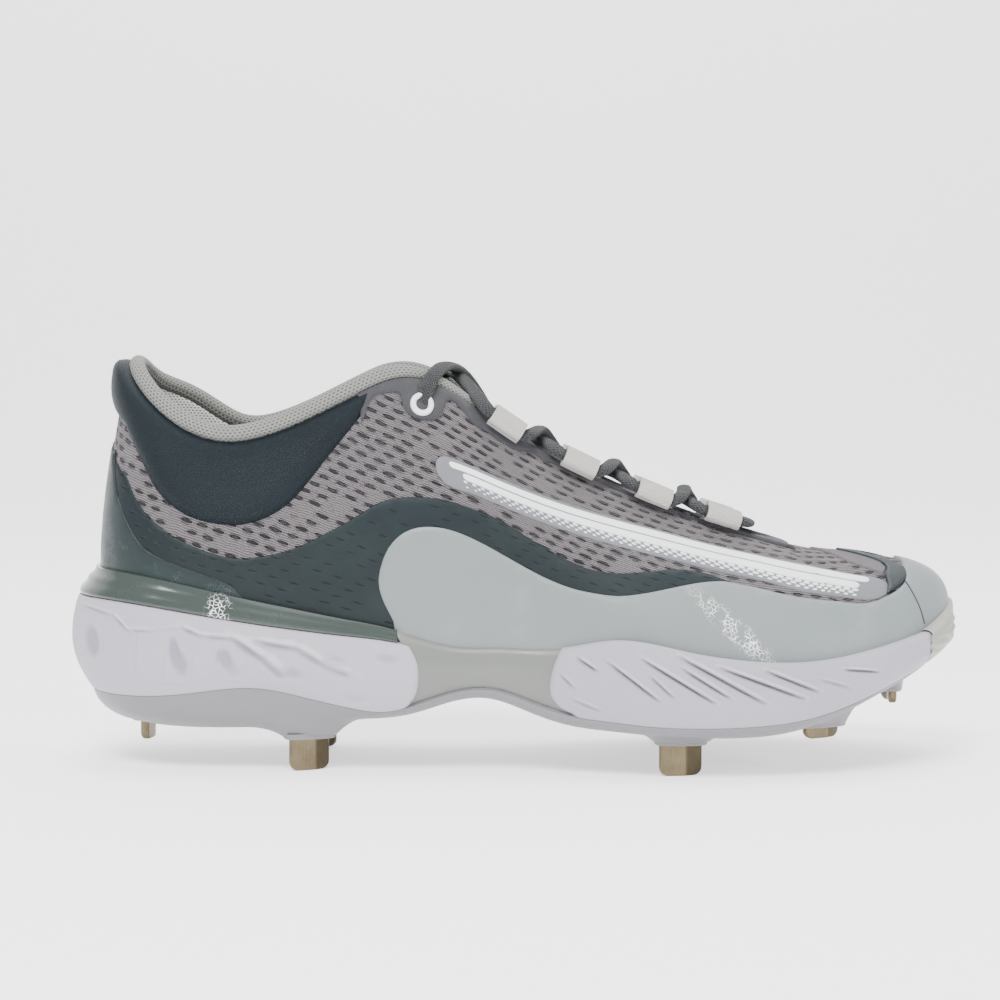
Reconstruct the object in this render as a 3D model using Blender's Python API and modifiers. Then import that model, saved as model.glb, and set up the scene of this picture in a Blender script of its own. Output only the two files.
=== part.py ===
"""Baseball cleat, right shoe, low cut, with metal studs.

Metres, +Z up, +X towards the toe, the outer (lateral) side of the shoe at -Y.
The studs under heel and ball stand on z = 0, and x = 0 is halfway along the shoe.
"""

import math

import bmesh
import bpy
import numpy as np
from mathutils import Matrix, Vector

# Main sizes of the shoe
LENGTH = 0.300
HEEL_WIDTH = 0.064
BALL_WIDTH = 0.090
TAB_HEIGHT = 0.1330
INSTEP_HEIGHT = 0.1300
VAMP_HEIGHT = 0.0735
ANKLE_WIDTH = 0.062
THROAT_WIDTH = 0.042
TOE_SWAY = 0.006

# Heights of the bed that the foot stands on, and how far the sole reaches from it
HEEL_SEAT = 0.0447
BALL_SEAT = 0.0295
TOE_SPRING = 0.0100
RIM_RISE = 0.0215
FOAM_DEPTH = 0.0200
STACK_DEPTH = 0.0300
BUMPER_RISE = 0.0087

# How far the sole stands out from the bottom edge of the upper
HEEL_FLARE = 0.0120
SIDE_FLANGE = 0.0062
TOE_WRAP = 0.0065
SIDE_TUCK = 0.0045
SIDE_LEAN = 0.0020
SADDLE_STEP = 0.0012

# Walls and clearances
GAP = 0.0003
LAYER_GAP = 0.0005
WALL = 0.0020
FILM = 0.0008
STAY_THICK = 0.0012
PAD_THICK = 0.0032
INSOLE_THICK = 0.0040
TONGUE_THICK = 0.0050
TONGUE_LAP = 0.875
TONGUE_CROWN = 0.06
TONGUE_CLEAR = 0.0012
TONGUE_GAP = 0.0011
RAIL_LIP = 0.0016
LINING_RADIUS = 0.0027
LINING_RINGS = 35

# Lace, its loops and its eyelets
LACE_WIDTH = 0.0048
LACE_THICK = 0.0028
LACE_ROOM = 0.0005
LACE_LIFT = 0.0022
LACE_LEAD = 0.0080
LACE_STEP = 0.0046
LACE_CLIMB = 0.0120
LOOP_LENGTH = 0.0118
LOOP_REACH = 0.0078
LOOP_HANG = 0.0022
LOOP_WALL = 0.0009
EYELET_RADIUS = 0.0040
EYELET_BORE = 0.0021
EYELET_THICK = 0.0010

# Studs: a metal blade in a boss of the plate
BLADE_WIDTH = 0.0145
BLADE_THICK = 0.0028
BLADE_CORNER = 0.0030
BLADE_SEAT = 0.0025
BOSS_BURY = 0.0016

MERGE = 1e-6

FEATHER_START = -LENGTH / 2 + HEEL_FLARE
FEATHER_LENGTH = LENGTH - HEEL_FLARE - TOE_WRAP

# Stations on the way round from the heel (0) to the toe (1)
COLLAR_FRONT = 0.46
THROAT_ROUND = 0.735
THROAT_END = 0.78
BUMPER_START = 0.86

# The stations of the upper's ribs on one side, which the layers over it share, and its rises
COLUMNS = np.concatenate(
    (np.linspace(0.0, 0.15, 6), np.linspace(0.20, 0.70, 11), (0.735, 0.76, 0.775, 0.78), np.linspace(0.81, 1.0, 7))
)
RISES = np.linspace(0.0, 1.0, 9)

# Bottom edge of the upper. share: of the length from the heel. heel: of HEEL_WIDTH.
# outer, inner: of BALL_WIDTH, added on each side. sway: of TOE_SWAY.
FEATHER = (
    # share, heel, outer, inner, sway
    (0.000, 1.040, 0.000, 0.000, 0.00),
    (0.030, 0.990, 0.000, 0.000, 0.00),
    (0.096, 0.840, 0.000, 0.000, 0.00),
    (0.206, 0.647, 0.000, 0.000, 0.00),
    (0.346, 0.400, 0.116, 0.076, -0.17),
    (0.500, 0.200, 0.263, 0.220, -0.33),
    (0.655, 0.000, 0.532, 0.491, -0.25),
    (0.794, 0.000, 0.632, 0.604, 0.13),
    (0.905, 0.000, 0.693, 0.684, 0.60),
    (1.000, 0.000, 0.717, 0.707, 1.00),
)

# Top edge of the upper, then its ridge. along: of LENGTH, from the middle. ankle: of ANKLE_WIDTH.
# throat: of THROAT_WIDTH. tab, instep, vamp: of the three heights. sway: of TOE_SWAY.
TOP_EDGE = (
    # station, along, ankle, throat, tab, instep, vamp, sway
    (0.00, -0.4350, 0.000, 0.000, 1.000, 0.000, 0.000, 0.00),
    (0.06, -0.4300, 0.170, 0.000, 0.985, 0.000, 0.000, 0.00),
    (0.12, -0.4110, 0.310, 0.000, 0.935, 0.000, 0.000, 0.00),
    (0.18, -0.3740, 0.410, 0.000, 0.865, 0.000, 0.000, 0.00),
    (0.24, -0.3270, 0.465, 0.000, 0.824, 0.000, 0.000, 0.00),
    (0.30, -0.2780, 0.490, 0.000, 0.834, 0.000, 0.000, 0.00),
    (0.36, -0.2250, 0.480, 0.000, 0.880, 0.000, 0.000, 0.00),
    (0.42, -0.1670, 0.420, 0.040, 0.480, 0.476, 0.000, 0.00),
    (0.46, -0.1250, 0.240, 0.230, 0.000, 1.000, 0.000, 0.00),
    (0.50, -0.0800, 0.060, 0.400, 0.000, 0.974, 0.000, 0.00),
    (0.56, 0.0000, 0.000, 0.430, 0.000, 0.850, 0.000, 0.00),
    (0.62, 0.0900, 0.000, 0.375, 0.000, 0.738, 0.000, 0.05),
    (0.68, 0.1800, 0.000, 0.320, 0.000, 0.650, 0.000, 0.15),
    (0.73, 0.2450, 0.000, 0.270, 0.000, 0.350, 0.442, 0.30),
    (0.78, 0.2890, 0.000, 0.210, 0.000, 0.000, 1.010, 0.38),
    (0.85, 0.3260, 0.000, 0.200, 0.000, 0.000, 0.974, 0.45),
    (0.92, 0.3630, 0.000, 0.200, 0.000, 0.000, 0.956, 0.52),
    (1.00, 0.3930, 0.000, 0.200, 0.000, 0.000, 0.945, 0.58),
)

# How a rib leaves the bottom edge and comes to the top edge: pulls are shares of its span, in degrees
# outwards from upright at the bottom, and down from level at the top.
RIB = (
    # station, low_pull, splay, high_pull, slope
    (0.00, 0.330, 10.0, 0.280, 80.0),
    (0.12, 0.350, 9.0, 0.300, 82.0),
    (0.24, 0.360, 7.0, 0.330, 84.0),
    (0.36, 0.320, 6.0, 0.330, 80.0),
    (0.46, 0.280, 6.0, 0.330, 70.0),
    (0.54, 0.285, 8.0, 0.350, 60.0),
    (0.62, 0.270, 10.0, 0.355, 44.0),
    (0.69, 0.250, 12.0, 0.380, 31.0),
    (0.735, 0.247, 12.0, 0.410, 20.0),
    (0.78, 0.255, 12.0, 0.450, 8.0),
    (0.88, 0.350, 12.0, 0.500, 7.0),
    (1.00, 0.550, 13.0, 0.620, 6.0),
)

# Heights of the sole by the share of its length: drop and spring lead the bed from heel to toe,
# rim and shelf are of RIM_RISE above it, foam of FOAM_DEPTH and plate of STACK_DEPTH below it.
SOLE = (
    # share, drop, spring, rim, shelf, foam, plate
    (0.000, 1.00, 0.00, 1.000, 0.572, 1.000, 1.000),
    (0.100, 0.97, 0.00, 0.851, 0.442, 0.915, 1.000),
    (0.190, 0.89, 0.00, 0.656, 0.302, 0.755, 0.953),
    (0.250, 0.82, 0.00, 0.549, 0.247, 0.870, 0.883),
    (0.300, 0.76, 0.00, 0.465, 0.219, 0.980, 0.793),
    (0.335, 0.69, 0.00, 0.428, 0.219, 0.980, 0.737),
    (0.370, 0.62, 0.00, 0.349, 0.195, 0.830, 0.647),
    (0.420, 0.53, 0.00, 0.237, 0.237, 0.530, 0.453),
    (0.460, 0.47, 0.00, 0.270, 0.270, 0.430, 0.393),
    (0.510, 0.37, 0.00, 0.335, 0.335, 0.560, 0.500),
    (0.555, 0.28, 0.00, 0.437, 0.437, 0.680, 0.573),
    (0.600, 0.19, 0.00, 0.605, 0.605, 0.685, 0.570),
    (0.640, 0.12, 0.00, 0.637, 0.637, 0.685, 0.563),
    (0.690, 0.05, 0.00, 0.549, 0.549, 0.660, 0.547),
    (0.750, 0.00, 0.00, 0.456, 0.456, 0.610, 0.533),
    (0.820, 0.00, 0.04, 0.386, 0.386, 0.570, 0.517),
    (0.880, 0.00, 0.20, 0.381, 0.381, 0.495, 0.482),
    (0.940, 0.00, 0.55, 0.381, 0.381, 0.400, 0.405),
    (1.000, 0.00, 1.00, 0.302, 0.302, 0.390, 0.395),
)

# Plan and side of the sole by station: flare of HEEL_FLARE, flange of SIDE_FLANGE, wrap of TOE_WRAP,
# tuck of the foam's bottom edge and under of the plate's, both of SIDE_TUCK, lean of SIDE_LEAN.
SKIRT = (
    # station, flare, flange, wrap, tuck, under, lean
    (0.00, 1.00, 0.00, 0.00, 1.55, 4.60, 1.35),
    (0.10, 0.75, 0.25, 0.00, 1.40, 4.00, 1.30),
    (0.20, 0.30, 0.58, 0.00, 1.10, 2.90, 1.20),
    (0.30, 0.05, 0.78, 0.00, 1.00, 2.30, 1.10),
    (0.40, 0.00, 0.84, 0.00, 0.90, 1.90, 0.90),
    (0.46, 0.00, 0.76, 0.00, 0.65, 1.40, 0.70),
    (0.52, 0.00, 0.80, 0.00, 0.60, 1.30, 0.70),
    (0.60, 0.00, 0.97, 0.00, 0.55, 1.30, 0.80),
    (0.70, 0.00, 1.02, 0.00, 0.55, 1.40, 0.80),
    (0.80, 0.00, 1.02, 0.00, 0.60, 1.60, 0.80),
    (0.90, 0.00, 0.60, 0.40, 1.20, 2.20, 0.90),
    (1.00, 0.00, 0.00, 1.00, 1.90, 3.00, 1.00),
)

# Ends of the foam blocks in the side view. level: of HEEL_SEAT. The rest: of LENGTH, from the middle.
BLOCK_ENDS = (
    # level, heel_front, forefoot_back, forefoot_front
    (0.00, -0.150, 0.090, 0.440),
    (0.42, -0.124, 0.066, 0.448),
    (0.52, -0.114, 0.046, 0.453),
    (0.62, -0.106, 0.036, 0.457),
    (0.78, -0.104, 0.038, 0.462),
    (0.92, -0.110, 0.046, 0.464),
    (1.06, -0.121, 0.058, 0.464),
    (1.50, -0.150, 0.090, 0.462),
)

# Steps of the rail's outside: height is of the rail, reach of its width beyond the lip.
RAIL_STEPS = (
    # height, reach
    (0.00, 1.00),
    (0.26, 0.90),
    (0.40, 0.62),
    (0.62, 0.46),
    (0.74, 0.12),
    (1.00, 0.00),
)

# Panels in the side view, both of LENGTH: along from the middle, and height.
COLLAR_PAD_EDGE = (
    (-0.520, 0.400), (-0.447, 0.397), (-0.429, 0.375), (-0.412, 0.342), (-0.395, 0.311), (-0.371, 0.289),
    (-0.347, 0.278), (-0.318, 0.273), (-0.298, 0.273), (-0.271, 0.281), (-0.246, 0.297),
    (-0.226, 0.319), (-0.204, 0.347), (-0.184, 0.372), (-0.164, 0.398), (-0.157, 0.416), (-0.157, 0.460),
)
QUARTER_EDGE = (
    (-0.520, 0.360), (-0.444, 0.360), (-0.428, 0.321), (-0.411, 0.290), (-0.389, 0.270), (-0.362, 0.254),
    (-0.338, 0.244), (-0.309, 0.237), (-0.282, 0.238), (-0.246, 0.246), (-0.205, 0.265),
    (-0.168, 0.286), (-0.150, 0.297), (-0.129, 0.303), (-0.103, 0.304), (-0.074, 0.300),
    (-0.044, 0.290), (-0.012, 0.276), (0.018, 0.258), (0.049, 0.240), (0.083, 0.226),
    (0.113, 0.222), (0.144, 0.223), (0.175, 0.225), (0.203, 0.221), (0.206, 0.190),
)
GUARD_EDGE = (
    (0.420, 0.300), (0.424, 0.260), (0.430, 0.227), (0.436, 0.216), (0.438, 0.206), (0.430, 0.197),
    (0.410, 0.188),
    (0.381, 0.183), (0.335, 0.189), (0.290, 0.197), (0.262, 0.204), (0.237, 0.209),
    (0.224, 0.211), (0.200, 0.210), (0.173, 0.206), (0.144, 0.201), (0.113, 0.198),
    (0.086, 0.201), (0.059, 0.207), (0.029, 0.219), (-0.003, 0.236), (-0.038, 0.255),
    (-0.069, 0.268), (-0.094, 0.272), (-0.114, 0.269), (-0.130, 0.259), (-0.142, 0.242),
    (-0.149, 0.217), (-0.146, 0.195), (-0.133, 0.168), (-0.124, 0.120),
)
COUNTER_EDGE = (
    (-0.447, 0.440), (-0.447, 0.390), (-0.445, 0.332), (-0.438, 0.300), (-0.425, 0.271), (-0.407, 0.247),
    (-0.381, 0.233), (-0.341, 0.219), (-0.319, 0.211), (-0.300, 0.197), (-0.292, 0.170), (-0.288, 0.130),
)
STAY_EDGE = (
    (-0.175, 0.470), (-0.157, 0.421), (-0.138, 0.419), (-0.126, 0.416), (-0.121, 0.398), (-0.110, 0.389),
    (-0.093, 0.386), (-0.082, 0.391), (-0.077, 0.404), (-0.068, 0.404), (-0.054, 0.391),
    (-0.045, 0.381), (-0.029, 0.371), (-0.003, 0.355), (0.016, 0.351), (0.029, 0.341),
    (0.044, 0.336), (0.080, 0.320), (0.097, 0.312), (0.114, 0.299), (0.135, 0.289),
    (0.165, 0.277), (0.188, 0.269), (0.210, 0.260), (0.248, 0.250), (0.320, 0.236),
)

# Studs. along, across: of LENGTH and BALL_WIDTH, from the middle. turn: degrees of the blade from the
# shoe's length. foot and root: heights of the blade's and the boss's bottoms, of STACK_DEPTH.
# long and wide: the boss at the plate, of BLADE_WIDTH.
STUDS = (
    # name, along, across, turn, foot, root, long, wide
    ("heel_outer", -0.227, -0.295, 22.0, 0.000, 0.350, 2.40, 1.70),
    ("heel_inner", -0.227, 0.295, -22.0, 0.000, 0.350, 2.40, 1.70),
    ("heel_back", -0.415, 0.000, 78.0, 0.230, 0.450, 1.80, 1.40),
    ("ball_outer", 0.181, -0.430, 5.0, 0.000, 0.340, 1.80, 1.30),
    ("ball_inner", 0.191, 0.395, -5.0, 0.000, 0.340, 1.80, 1.30),
    ("fore_outer", 0.337, -0.345, 28.0, 0.380, 0.505, 1.70, 1.25),
    ("fore_inner", 0.345, 0.390, -28.0, 0.380, 0.505, 1.70, 1.25),
    ("toe", 0.428, 0.050, 84.0, 0.620, 0.760, 1.30, 0.75),
)

# Lace loops on each edge of the throat, by station of the top edge.
LOOP_STATIONS = (0.551, 0.605, 0.659, 0.714)
EYELET_ALONG = -0.103
EYELET_HEIGHT = 0.403

COLOURS = {
    "plate": (0.42, 0.43, 0.42, 1.0, 0.45, 0.0),
    "foam": (0.60, 0.59, 0.64, 1.0, 0.60, 0.0),
    "rail": (0.22, 0.25, 0.24, 1.0, 0.25, 0.0),
    "bumper": (0.60, 0.62, 0.58, 1.0, 0.55, 0.0),
    "mesh": (0.40, 0.36, 0.38, 1.0, 0.85, 0.0),
    "film": (0.06, 0.083, 0.087, 1.0, 0.35, 0.0),
    "guard": (0.45, 0.50, 0.50, 1.0, 0.35, 0.0),
    "stay": (0.10, 0.10, 0.11, 1.0, 0.70, 0.0),
    "neoprene": (0.055, 0.076, 0.089, 1.0, 0.80, 0.0),
    "lining": (0.60, 0.62, 0.58, 1.0, 0.90, 0.0),
    "tongue": (0.09, 0.09, 0.10, 1.0, 0.85, 0.0),
    "lace": (0.08, 0.085, 0.09, 1.0, 0.80, 0.0),
    "webbing": (0.73, 0.70, 0.64, 1.0, 0.85, 0.0),
    "eyelet": (0.80, 0.80, 0.78, 1.0, 0.40, 0.0),
    "metal": (0.38, 0.33, 0.24, 1.0, 0.30, 1.0),
}


def clear_scene():
    for obj in list(bpy.data.objects):
        bpy.data.objects.remove(obj, do_unlink=True)


def new_collection(name):
    collection = bpy.data.collections.new(name)
    bpy.context.scene.collection.children.link(collection)
    return collection


def material(name, finish):
    """A Principled material of the piece's own, from the named colour, roughness and metal."""
    red, green, blue, alpha, rough, metal = COLOURS[finish]
    mat = bpy.data.materials.new(name)
    mat.use_nodes = True
    shader = mat.node_tree.nodes["Principled BSDF"]
    shader.inputs["Base Color"].default_value = (red, green, blue, alpha)
    shader.inputs["Roughness"].default_value = rough
    shader.inputs["Metallic"].default_value = metal
    return mat


def spline(rows, column, level_start=True, level_end=True):
    """A cubic through one column of a table by its first column, level at an end unless told otherwise."""
    at = np.array([row[0] for row in rows], float)
    to = np.array([row[column] for row in rows], float)
    step = np.diff(at)
    rise = np.diff(to) / step
    count = len(at)
    matrix = np.eye(count)
    side = np.zeros(count)
    for i in range(1, count - 1):
        matrix[i, i - 1 : i + 2] = step[i], 2 * (step[i - 1] + step[i]), step[i - 1]
        side[i] = 3 * (step[i] * rise[i - 1] + step[i - 1] * rise[i])
    if not level_start:
        matrix[0, :2] = 2, 1
        side[0] = 3 * rise[0]
    if not level_end:
        matrix[-1, -2:] = 1, 2
        side[-1] = 3 * rise[-1]
    slope = np.linalg.solve(matrix, side)

    def value(where):
        where = np.clip(where, at[0], at[-1])
        i = np.clip(np.searchsorted(at, where) - 1, 0, count - 2)
        t = (where - at[i]) / step[i]
        return (
            to[i] * (1 + 2 * t) * (1 - t) ** 2
            + to[i + 1] * t * t * (3 - 2 * t)
            + slope[i] * step[i] * t * (1 - t) ** 2
            - slope[i + 1] * step[i] * t * t * (1 - t)
        )

    return value


FEATHER_CURVES = [spline(FEATHER, column, level_start=False) for column in range(1, 5)]
TOP_CURVES = [spline(TOP_EDGE, column, level_start=column != 2) for column in range(1, 8)]
RIB_CURVES = [spline(RIB, column) for column in range(1, 5)]
SOLE_CURVES = dict(
    zip(("drop", "spring", "rim", "shelf", "foam", "plate"), [spline(SOLE, i) for i in range(1, 7)])
)
SKIRT_CURVES = dict(
    zip(("flare", "flange", "wrap", "tuck", "under", "lean"), [spline(SKIRT, i) for i in range(1, 7)])
)


def wrapped(station):
    """A station between -1 and 1: 0 is the back of the heel, 1 the toe, and below 0 is the outer side."""
    return (np.asarray(station, float) + 1.0) % 2.0 - 1.0


def share_of(station):
    return (1 - np.cos(np.pi * station)) / 2


def bed_height(share):
    drop = SOLE_CURVES["drop"](share)
    return BALL_SEAT + (HEEL_SEAT - BALL_SEAT) * drop + TOE_SPRING * SOLE_CURVES["spring"](share)


def feather(station):
    """A point of the upper's bottom edge."""
    station = wrapped(station)
    share = share_of(station)
    heel, outer, inner, sway = (curve(share) for curve in FEATHER_CURVES)
    width = heel * HEEL_WIDTH + np.where(station < 0, outer, inner) * BALL_WIDTH
    return np.stack(
        (
            FEATHER_START + FEATHER_LENGTH * share,
            sway * TOE_SWAY + np.sin(np.pi * station) * width,
            bed_height(share),
        ),
        axis=-1,
    )


def outward(station):
    """The level direction straight out of the bottom edge."""
    nudge = 1e-4
    run = feather(np.asarray(station) + nudge) - feather(np.asarray(station) - nudge)
    out = np.stack((-run[..., 1], run[..., 0], np.zeros_like(run[..., 0])), axis=-1)
    return out / np.linalg.norm(out, axis=-1, keepdims=True)


def top_edge(station):
    station = wrapped(station)
    along, ankle, throat, tab, instep, vamp, sway = (curve(np.abs(station)) for curve in TOP_CURVES)
    into_end = np.clip((np.abs(station) - THROAT_ROUND) / (THROAT_END - THROAT_ROUND), 0.0, 1.0)
    half = (ankle * ANKLE_WIDTH + throat * THROAT_WIDTH) * np.sqrt(1 - into_end**2)
    return np.stack(
        (
            along * LENGTH,
            sway * TOE_SWAY + np.sign(station) * half,
            tab * TAB_HEIGHT + instep * INSTEP_HEIGHT + vamp * VAMP_HEIGHT,
        ),
        axis=-1,
    )


def skin(station, rise):
    """The outer face of the upper: rise goes from 0 at the bottom edge to 1 at the top edge or ridge."""
    station, rise = np.broadcast_arrays(np.asarray(station, float), np.asarray(rise, float))
    low_pull, splay, high_pull, slope = (curve(np.abs(wrapped(station))) for curve in RIB_CURVES)
    splay = np.radians(splay)[..., None]
    slope = np.radians(slope)[..., None]
    up = np.array((0.0, 0.0, 1.0))
    low = feather(station)
    high = top_edge(station)
    out = outward(station)
    span = np.linalg.norm(high - low, axis=-1, keepdims=True)
    lead = (low - high) * (1, 1, 0) + out * LENGTH / 15
    lead /= np.linalg.norm(lead, axis=-1, keepdims=True)
    low_hold = low + (out * np.sin(splay) + up * np.cos(splay)) * span * low_pull[..., None]
    high_hold = high + (lead * np.cos(slope) - up * np.sin(slope)) * span * high_pull[..., None]
    t = rise[..., None]
    return (
        low * (1 - t) ** 3
        + 3 * low_hold * t * (1 - t) ** 2
        + 3 * high_hold * t * t * (1 - t)
        + high * t**3
    )


def skin_normal(station, rise):
    nudge = 1e-3
    rise = np.clip(rise, nudge, 1 - 2 * nudge)
    along = skin(np.asarray(station) + nudge, rise) - skin(np.asarray(station) - nudge, rise)
    up = skin(station, rise + nudge) - skin(station, rise - nudge)
    normal = np.cross(up, along)
    return normal / np.linalg.norm(normal, axis=-1, keepdims=True)


def lifted(station, rise, lift):
    return skin(station, rise) + skin_normal(station, rise) * np.asarray(lift)[..., None]


def rise_at(station, height):
    """The rise at which the rib of a station reaches a height."""
    rises = np.linspace(0.0, 1.0, 201)
    heights = skin(np.full_like(rises, station), rises)[:, 2]
    reached = np.argmax(heights >= height)
    if heights[reached] < height:
        return 1.0
    if reached == 0:
        return 0.0
    part = (height - heights[reached - 1]) / (heights[reached] - heights[reached - 1])
    return rises[reached - 1] + part * (rises[reached] - rises[reached - 1])


def on_skin(along, height, side):
    """The station and rise of the point of the skin that the side view shows at a place."""
    stations = np.linspace(0.02, 0.98, 97)
    rises = np.linspace(0.02, 0.98, 97)
    reach = 0.5
    centre = np.array((0.5, 0.5))
    for _ in range(4):
        s, r = np.meshgrid(
            np.clip(centre[0] + (stations - 0.5) * 2 * reach, 0.001, 0.999),
            np.clip(centre[1] + (rises - 0.5) * 2 * reach, 0.001, 0.999),
            indexing="ij",
        )
        points = skin(side * s, r)
        miss = (points[..., 0] - along) ** 2 + (points[..., 2] - height) ** 2
        best = np.unravel_index(np.argmin(miss), miss.shape)
        centre = np.array((s[best], r[best]))
        reach *= 0.06
    return side * centre[0], centre[1]


def add_mesh(name, points, faces, finish, collection, smooth=False):
    mesh = bpy.data.meshes.new(name)
    mesh.from_pydata([tuple(point) for point in points], [], faces)
    shape = bmesh.new()
    shape.from_mesh(mesh)
    bmesh.ops.remove_doubles(shape, verts=shape.verts, dist=MERGE)
    bmesh.ops.dissolve_degenerate(shape, edges=shape.edges, dist=MERGE)
    bmesh.ops.recalc_face_normals(shape, faces=shape.faces)
    shape.to_mesh(mesh)
    shape.free()
    obj = bpy.data.objects.new(name, mesh)
    collection.objects.link(obj)
    if finish:
        mesh.materials.append(material(name, finish))
    if smooth:
        mesh.shade_smooth()
        mesh.set_sharp_from_angle(angle=math.radians(35))
    return obj


def loft(name, sections, finish, collection, caps=True, loop=True, around=False):
    """A skin through sections of the same number of points; around joins the last to the first."""
    sections = np.asarray(sections)
    rows, count = sections.shape[:2]
    faces = []
    for i in range(rows if around else rows - 1):
        j = (i + 1) % rows
        for k in range(count if loop else count - 1):
            m = (k + 1) % count
            faces.append((i * count + k, i * count + m, j * count + m, j * count + k))
    if caps and not around:
        faces.append(tuple(range(count - 1, -1, -1)))
        faces.append(tuple(range((rows - 1) * count, rows * count)))
    return add_mesh(name, sections.reshape(-1, 3), faces, finish, collection, smooth=True)


def prism(name, outline, half_depth, collection):
    """A cutter: an outline of the side view, drawn through the shoe from side to side."""
    outline = np.asarray(outline, float)
    count = len(outline)
    points = [(x, -half_depth, z) for x, z in outline] + [(x, half_depth, z) for x, z in outline]
    faces = [tuple(range(count)), tuple(range(2 * count - 1, count - 1, -1))]
    faces += [(k, (k + 1) % count, count + (k + 1) % count, count + k) for k in range(count)]
    return as_cutter(add_mesh(name, points, faces, None, collection))


def as_cutter(obj):
    obj.hide_render = True
    obj.display_type = "WIRE"
    return obj


def boolean(obj, cutter, operation):
    modifier = obj.modifiers.new(cutter.name, "BOOLEAN")
    modifier.operation = operation
    modifier.solver = "EXACT"
    modifier.object = cutter
    return obj


def smooth_line(points, pieces=3):
    """More points on a rounded line through the given ones."""
    points = np.asarray(points, float)
    ends = np.vstack((2 * points[0] - points[1], points, 2 * points[-1] - points[-2]))
    line = []
    for i in range(1, len(points)):
        before, start, end, after = ends[i - 1], ends[i], ends[i + 1], ends[i + 2]
        for t in np.arange(pieces) / pieces:
            line.append(
                0.5
                * (
                    2 * start
                    + (end - before) * t
                    + (2 * before - 5 * start + 4 * end - after) * t * t
                    + (3 * start - before - 3 * end + after) * t**3
                )
            )
    line.append(points[-1])
    return np.array(line)


def build_upper(parts):
    """The hollow upper: one wall, open at the collar and throat and underneath."""
    stations = np.concatenate((-COLUMNS[::-1], COLUMNS[1:]))
    points = skin(stations[:, None], RISES[None, :])
    rows, count = points.shape[:2]
    faces = [
        (i * count + k, (i + 1) * count + k, (i + 1) * count + k + 1, i * count + k + 1)
        for i in range(rows - 1)
        for k in range(count - 1)
    ]
    obj = add_mesh("upper", points.reshape(-1, 3), faces, "mesh", parts, smooth=True)
    wall = obj.modifiers.new("wall", "SOLIDIFY")
    wall.thickness = WALL
    wall.offset = -1.0
    wall.use_even_offset = True
    return obj


def skirt_point(station, inset, height):
    """A point of the sole's outside, so far in from its widest outline."""
    at = np.abs(wrapped(station))
    reach = (
        SKIRT_CURVES["flare"](at) * HEEL_FLARE
        + SKIRT_CURVES["flange"](at) * SIDE_FLANGE
        + SKIRT_CURVES["wrap"](at) * TOE_WRAP
    )
    point = feather(station) + outward(station) * (reach - inset)
    point[2] = height
    return point


def sole_heights(station):
    """Heights of the sole at a station, read at the place of the foam's bottom edge."""
    tuck = SKIRT_CURVES["tuck"](np.abs(wrapped(station))) * SIDE_TUCK
    edge = skirt_point(station, tuck, 0.0)
    share = np.clip((edge[0] - FEATHER_START) / FEATHER_LENGTH, 0.0, 1.0)
    bed = bed_height(share_of(wrapped(station)))
    return {
        "bed": bed,
        "rim": bed + RIM_RISE * SOLE_CURVES["rim"](share),
        "shelf": bed + RIM_RISE * SOLE_CURVES["shelf"](share),
        "foam": bed - FOAM_DEPTH * SOLE_CURVES["foam"](share),
        "plate": bed - STACK_DEPTH * SOLE_CURVES["plate"](share),
    }


def skirt_side(station, low, high, step_in, widest=0.56):
    """The outside of the foam at a station, from its bottom edge to its top edge."""
    at = np.abs(wrapped(station))
    tuck = SKIRT_CURVES["tuck"](at) * SIDE_TUCK
    lean = SKIRT_CURVES["lean"](at) * SIDE_LEAN
    side = []
    for level in (0.0, 0.12, 0.30, widest, 0.82, 1.0):
        if level < widest:
            inset = tuck * ((widest - level) / widest) ** 2
        else:
            inset = lean * ((level - widest) / (1 - widest)) ** 2
        side.append(skirt_point(station, inset + step_in, low + (high - low) * level))
    return side


def recess_side(station, low, high):
    """The inside of the sole's rim, a gap away from the upper, from its top down to the bed."""
    side = []
    for level in (1.0, 0.5, 0.0):
        rise = rise_at(station, low + (high - low) * level)
        point = skin(station, rise) + outward(station) * GAP
        point[2] = low + (high - low) * level
        side.append(point)
    side[-1][2] = low - GAP
    return side


def sole_block(name, finish, collection, low_of, high_of, step_in=0.0):
    """The whole sole as one block between two heights, with the bed sunk into it."""
    sections = []
    for at in COLUMNS:
        section = []
        for side in (-1, 1):
            heights = sole_heights(side * at)
            low, high = low_of(at, heights), high_of(at, heights)
            half = skirt_side(side * at, low, high, step_in) + recess_side(side * at, heights["bed"], high)
            section += half if side < 0 else half[::-1]
        sections.append(section)
    return loft(name, sections, finish, collection, caps=False)


def plate_block(name, finish, collection):
    """The plate under the foam: its edge slopes in to a level underside."""
    sections = []
    for at in COLUMNS:
        section = []
        for side in (-1, 1):
            heights = sole_heights(side * at)
            tuck = SKIRT_CURVES["tuck"](at) * SIDE_TUCK
            under = SKIRT_CURVES["under"](at) * SIDE_TUCK
            top = heights["foam"] - GAP
            low = heights["plate"]
            half = [
                skirt_point(side * at, under + (tuck - under) * reach, low + (top - low) * level)
                for level, reach in ((0.0, 0.0), (0.12, 0.38), (0.40, 0.74), (1.0, 1.0))
            ]
            section += half if side < 0 else half[::-1]
        sections.append(section)
    return loft(name, sections, finish, collection, caps=False)


def bumper_top(at, heights):
    """The height of the bumper's top edge, which climbs round to the tip of the toe."""
    climb = np.clip((at - BUMPER_START) / (1 - BUMPER_START), 0.0, 1.0)
    return heights["rim"] + BUMPER_RISE * climb * climb * (3 - 2 * climb)


def block_end(column, shift=0.0):
    return [(row[column] * LENGTH + shift, row[0] * HEEL_SEAT) for row in BLOCK_ENDS]


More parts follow.
